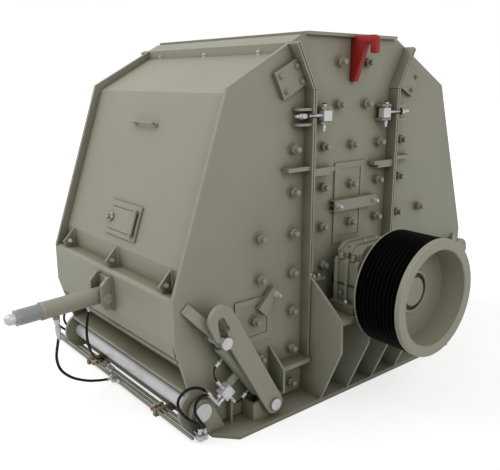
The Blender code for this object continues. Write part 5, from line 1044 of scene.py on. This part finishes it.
def bearing_castings():
    """Ribbed bearing housings with the split line between body and cap."""
    for side_word, side in SIDES:
        shells = [ring_plate(bearing_outline(0.222, 1.07), 0.086, 0.956, 1.144)]
        for start, end in ((0.946, 0.976), (1.036, 1.062), (1.12, 1.148)):
            shells.append(ring_plate(bearing_outline(0.236, 1.08), 0.086, start, end))
        for end in (-1.0, 1.0):
            plug = rod(0.015, 0.0, 0.02, 24, 0.003)
            shells.append(placed(plug, (1.006, end * 0.22, 0.752), (0.0, end, 0.0)))
            for x in (0.99, 1.09):
                boss = rod(0.02, 0.0, 0.01, 20, 0.002)
                bolt = small_bolt(0.028, 0.02, 0.026)
                shells.append(placed(boss, (x, end * 0.216, 0.984), Z_WAY))
                shells.append(placed(bolt, (x, end * 0.216, 0.994), Z_WAY, x * 900.0))
            ear = [(1.012, 1.03), (1.012, 1.062), (1.024, 1.074)]
            ear += [(1.04, 1.074), (1.052, 1.062), (1.052, 1.03)]
            shells.append(plate(ear, end * 0.176 - 0.006, end * 0.176 + 0.006, 0.002))
        name = f"{side_word}_bearing"
        fitted(f"{name}_casting", shells, side, 1.0, PAINTED, "base")
        split = [
            block((0.9454, low, SHAFT_Z - 0.0012), (1.1486, high, SHAFT_Z + 0.0012))
            for low, high in ((0.1, 0.2366), (-0.2366, -0.1))
        ]
        fitted(f"{name}_split", split, side, 1.0, BLACK_OXIDE, "base")


def bearing_fasteners():
    """Foot bolts and grease nipples of both bearings."""
    for side_word, side in SIDES:
        painted = []
        bright = []
        for y in (-0.252, 0.252):
            painted.append(placed(rod(0.017, 0.0, 0.004, 28, 0.001), (1.072, y, 0.6957), Z_WAY))
            bright.append(placed(small_bolt(0.026, 0.016, 0.02), (1.072, y, 0.6995), Z_WAY, 10.0))
        for y in (-0.055, 0.055):
            nipple = joined(hexagon(0.014, -0.002, 0.007, 0.0008), rod(0.0042, 0.006, 0.016, 12, 0.001))
            bright.append(placed(nipple, (1.049, y, 1.08), Z_WAY))
        name = f"{side_word}_bearing"
        fitted(f"{name}_washers", painted, side, 1.0, PAINTED, "base")
        fitted(f"{name}_foot_bolts", bright, side, 1.0, STEELY, "base")


def pin_ends():
    """Bright end discs on the arm pivots, and the gland nuts of the cylinders."""
    for side_word, side, end_word, end in CORNERS:
        corner = f"{end_word}_{side_word}"
        disc = joined(rod(0.038, -0.0006, 0.0136, 36, 0.002), rod(0.006, 0.012, 0.0142, 12))
        disc = placed(disc, (PIN_HEAD_X, *ANCHOR_PIN), X_WAY)
        fitted(f"{corner}_arm_pin_disc", [disc], side, end, STEELY, "base")
        gland = spun(
            [
                (0.0315, 0.556), (0.0504, 0.556), (0.0514, 0.558), (0.0514, 0.566), (0.05, 0.568),
                (0.05, 0.571), (0.0514, 0.573), (0.0514, 0.584), (0.048, 0.5875), (0.0315, 0.5875),
            ],
            48,
        )
        gland = placed(gland, (CYLINDER_X, *ANCHOR_PIN), CYLINDER_LINE)
        fitted(f"{corner}_gland_nut", [gland], side, end, PAINTED, f"{corner}_cylinder")


def beam_bolts():
    """Cross bolts in the lugs on top of each beam; the far pair is bare, the others are painted over."""
    for end_word, end in ENDS:
        for word, places, material in (("bare", (-0.67,), STEELY), ("painted", (0.0, 0.67), PAINTED)):
            bolts = []
            for x in places:
                for way in (-1.0, 1.0):
                    place = (x + way * 0.018, 1.372, 0.958)
                    bolts.append(placed(small_bolt(0.026, 0.014, 0.022), place, (way, 0.0, 0.0), 18.0))
            fitted(f"{end_word}_{word}_lug_bolts", bolts, 1.0, end, material, f"{end_word}_housing")


def pipe_clamps():
    """Orange clamps that hold the three pipes on their bars, with their bolts."""
    for word, x in (("far", -0.456), ("near", 0.398)):
        body = [block((x - 0.012, -1.348, 0.018), (x + 0.012, -1.252, 0.03), 0.002)]
        for y in (-1.268, -1.3, -1.332):
            body.append(block((x - 0.014, y - 0.013, 0.02), (x + 0.014, y + 0.013, 0.046), 0.004))
        piece(f"{word}_pipe_clamp", joined(*body), CLAMP_PLASTIC, "base")
        cover = [block((x - 0.011, -1.344, 0.0458), (x + 0.011, -1.256, 0.049), 0.001)]
        for y in (-1.284, -1.316):
            cover.append(placed(small_bolt(0.015, 0.01), (x, y, 0.0488), Z_WAY))
        piece(f"{word}_pipe_clamp_plate", joined(*cover), STEELY, "base")


def pipe_fittings():
    """Bright unions on the pipes where the hoses join them."""
    parts = [placed(hexagon(0.03, 0.0, 0.022, 0.0015), (-0.322, -1.284, 0.05), X_WAY)]
    for x, y in ((-0.3, -1.268), (-0.3, -1.3), (-0.255, -1.3), (-0.165, -1.332), (-0.075, -1.332)):
        parts.append(placed(hexagon(0.028, -0.014, 0.014, 0.0012), (x, y, 0.031), X_WAY, 8.0))
        parts.append(placed(rod(0.0125, -0.026, 0.026, 20, 0.001), (x, y, 0.031), X_WAY))
    parts.append(block((-0.138, -1.3635, 0.018), (-0.102, -1.319, 0.044), 0.003))
    parts.append(placed(rod(0.0118, 0.0, 0.03, 20, 0.001), (-0.12, -1.363, 0.05), Y_WAY))
    piece("pipe_unions", joined(*parts), STEELY, "base")
    for word, low, high in (("near", 0.857, 0.903), ("far", -1.062, -1.007)):
        body = [block((low, -1.313, 0.017), (high, -1.249, 0.049), 0.003)]
        for y in (-1.297, -1.265):
            body.append(placed(hexagon(0.026, -0.004, 0.006, 0.001), (high, y, 0.033), X_WAY))
        piece(f"{word}_pipe_end_block", joined(*body), STEELY, "base")


def beside_barrel(x, along, out):
    """A point by the barrel at one corner, by the way along it and out from it."""
    spot = along * CYLINDER_LINE + out * CYLINDER_OUT
    return (x, ANCHOR_PIN[0] + spot.y, ANCHOR_PIN[1] + spot.z)


def valve_fittings():
    """Unions and screws on both valve blocks, and the strap that carries them."""
    for side_word, side in SIDES:
        parts = []
        for along, out, way in (
            (0.285, 0.168, -CYLINDER_LINE), (0.371, 0.168, CYLINDER_LINE),
            (0.312, 0.212, CYLINDER_OUT), (0.346, 0.212, CYLINDER_OUT),
        ):
            union = joined(hexagon(0.026, -0.008, 0.01, 0.001), rod(0.01, 0.008, 0.016, 16, 0.001))
            parts.append(placed(union, beside_barrel(VALVE_X, along, out), way))
        for along in (0.303, 0.353):
            for out in (0.142, 0.194):
                place = beside_barrel(VALVE_X + 0.027, along, out)
                parts.append(placed(rod(0.0058, 0.0, 0.004, 14, 0.0008), place, X_WAY))
        strap = block((CYLINDER_X - 0.0088, 0.3012, 0.0512), (CYLINDER_X + 0.0088, 0.3548, 0.1306), 0.001)
        strap = laid(strap, (0.0, *ANCHOR_PIN), CYLINDER_LINE, CYLINDER_OUT)
        name = f"{side_word}_valve"
        carrier = f"rear_{side_word}_cylinder"
        fitted(f"{name}_strap", [strap], side, -1.0, PAINTED, carrier)
        fitted(f"{name}_unions", parts, side, -1.0, STEELY, carrier)


def by_sight(tree, unseen, shown):
    """One shader for what the camera sees, straight or in a reflection, and another for the rest."""
    path = tree.nodes.new("ShaderNodeLightPath").outputs
    direct = maths(tree, "MAXIMUM", path["Is Camera Ray"], path["Is Transmission Ray"])
    choice = tree.nodes.new("ShaderNodeMixShader")
    tree.links.new(maths(tree, "MAXIMUM", direct, path["Is Glossy Ray"]), choice.inputs[0])
    tree.links.new(unseen, choice.inputs[1])
    tree.links.new(shown, choice.inputs[2])
    return choice.outputs[0]


def floor_material():
    """Pale floor that stays white to the camera beyond the object's shadow."""
    made = bpy.data.materials.new("floor_white")
    made.use_nodes = True
    tree = made.node_tree
    nodes = tree.nodes
    nodes.clear()
    end = nodes.new("ShaderNodeOutputMaterial")
    where = nodes.new("ShaderNodeTexCoord").outputs["Object"]
    length = nodes.new("ShaderNodeVectorMath")
    length.operation = "LENGTH"
    tree.links.new(where, length.inputs[0])
    glow = nodes.new("ShaderNodeEmission")
    tree.links.new(spread(tree, length.outputs["Value"], 0.7, 1.0, 2.2, 5.0), glow.inputs["Strength"])
    shaded = nodes.new("ShaderNodeBsdfDiffuse")
    plain = nodes.new("ShaderNodeBsdfDiffuse")
    for shader in (shaded, plain):
        shader.inputs["Color"].default_value = (0.5, 0.5, 0.5, 1.0)
    both = nodes.new("ShaderNodeAddShader")
    tree.links.new(glow.outputs[0], both.inputs[0])
    tree.links.new(shaded.outputs[0], both.inputs[1])
    tree.links.new(by_sight(tree, plain.outputs[0], both.outputs[0]), end.inputs["Surface"])
    return made


def studio():
    """Pale floor, soft lamps and a white surround."""
    scene = bpy.context.scene
    scene.view_settings.view_transform = "Standard"
    world = bpy.data.worlds.new("surround")
    world.use_nodes = True
    tree = world.node_tree
    shown = tree.nodes["Background"]
    lit = tree.nodes.new("ShaderNodeBackground")
    for shader, strength in ((shown, 1.0), (lit, 0.52)):
        shader.inputs["Color"].default_value = (1.0, 1.0, 1.0, 1.0)
        shader.inputs["Strength"].default_value = strength
    seen = by_sight(tree, lit.outputs[0], shown.outputs[0])
    tree.links.new(seen, tree.nodes["World Output"].inputs["Surface"])
    scene.world = world

    shape = bmesh.new()
    bmesh.ops.create_grid(shape, x_segments=1, y_segments=1, size=60.0)
    mesh = bpy.data.meshes.new("floor")
    shape.to_mesh(mesh)
    shape.free()
    mesh.materials.append(floor_material())
    floor = in_scene("floor", mesh)
    floor.location = (0.0, 0.0, -0.001)

    for name, place, size, power in (
        ("key_lamp", (-2.0, -5.0, 7.0), 4.0, 185.0),
        ("side_lamp", (7.0, -2.0, 5.0), 4.0, 110.0),
    ):
        data = bpy.data.lights.new(name, "AREA")
        data.size = size
        data.energy = power
        lamp = in_scene(name, data)
        lamp.location = place
        aim = Vector((-0.2, 0.0, 1.0)) - lamp.location
        lamp.rotation_mode = "QUATERNION"
        lamp.rotation_quaternion = aim.to_track_quat("-Z", "Y")


for build in (
    studio, dress_nodes, liner_bolts, spring_plate_bolts, clamp_nuts, swing_bolts, seam_bolts,
    strip_joints, lifting_hooks, roof_clips, door_fittings, adjuster_spindles, adjuster_fittings,
    clevis_bolts, pulley, bearing_castings, bearing_fasteners, pin_ends, beam_bolts, pipe_clamps,
    pipe_fittings, valve_fittings,
):
    build()
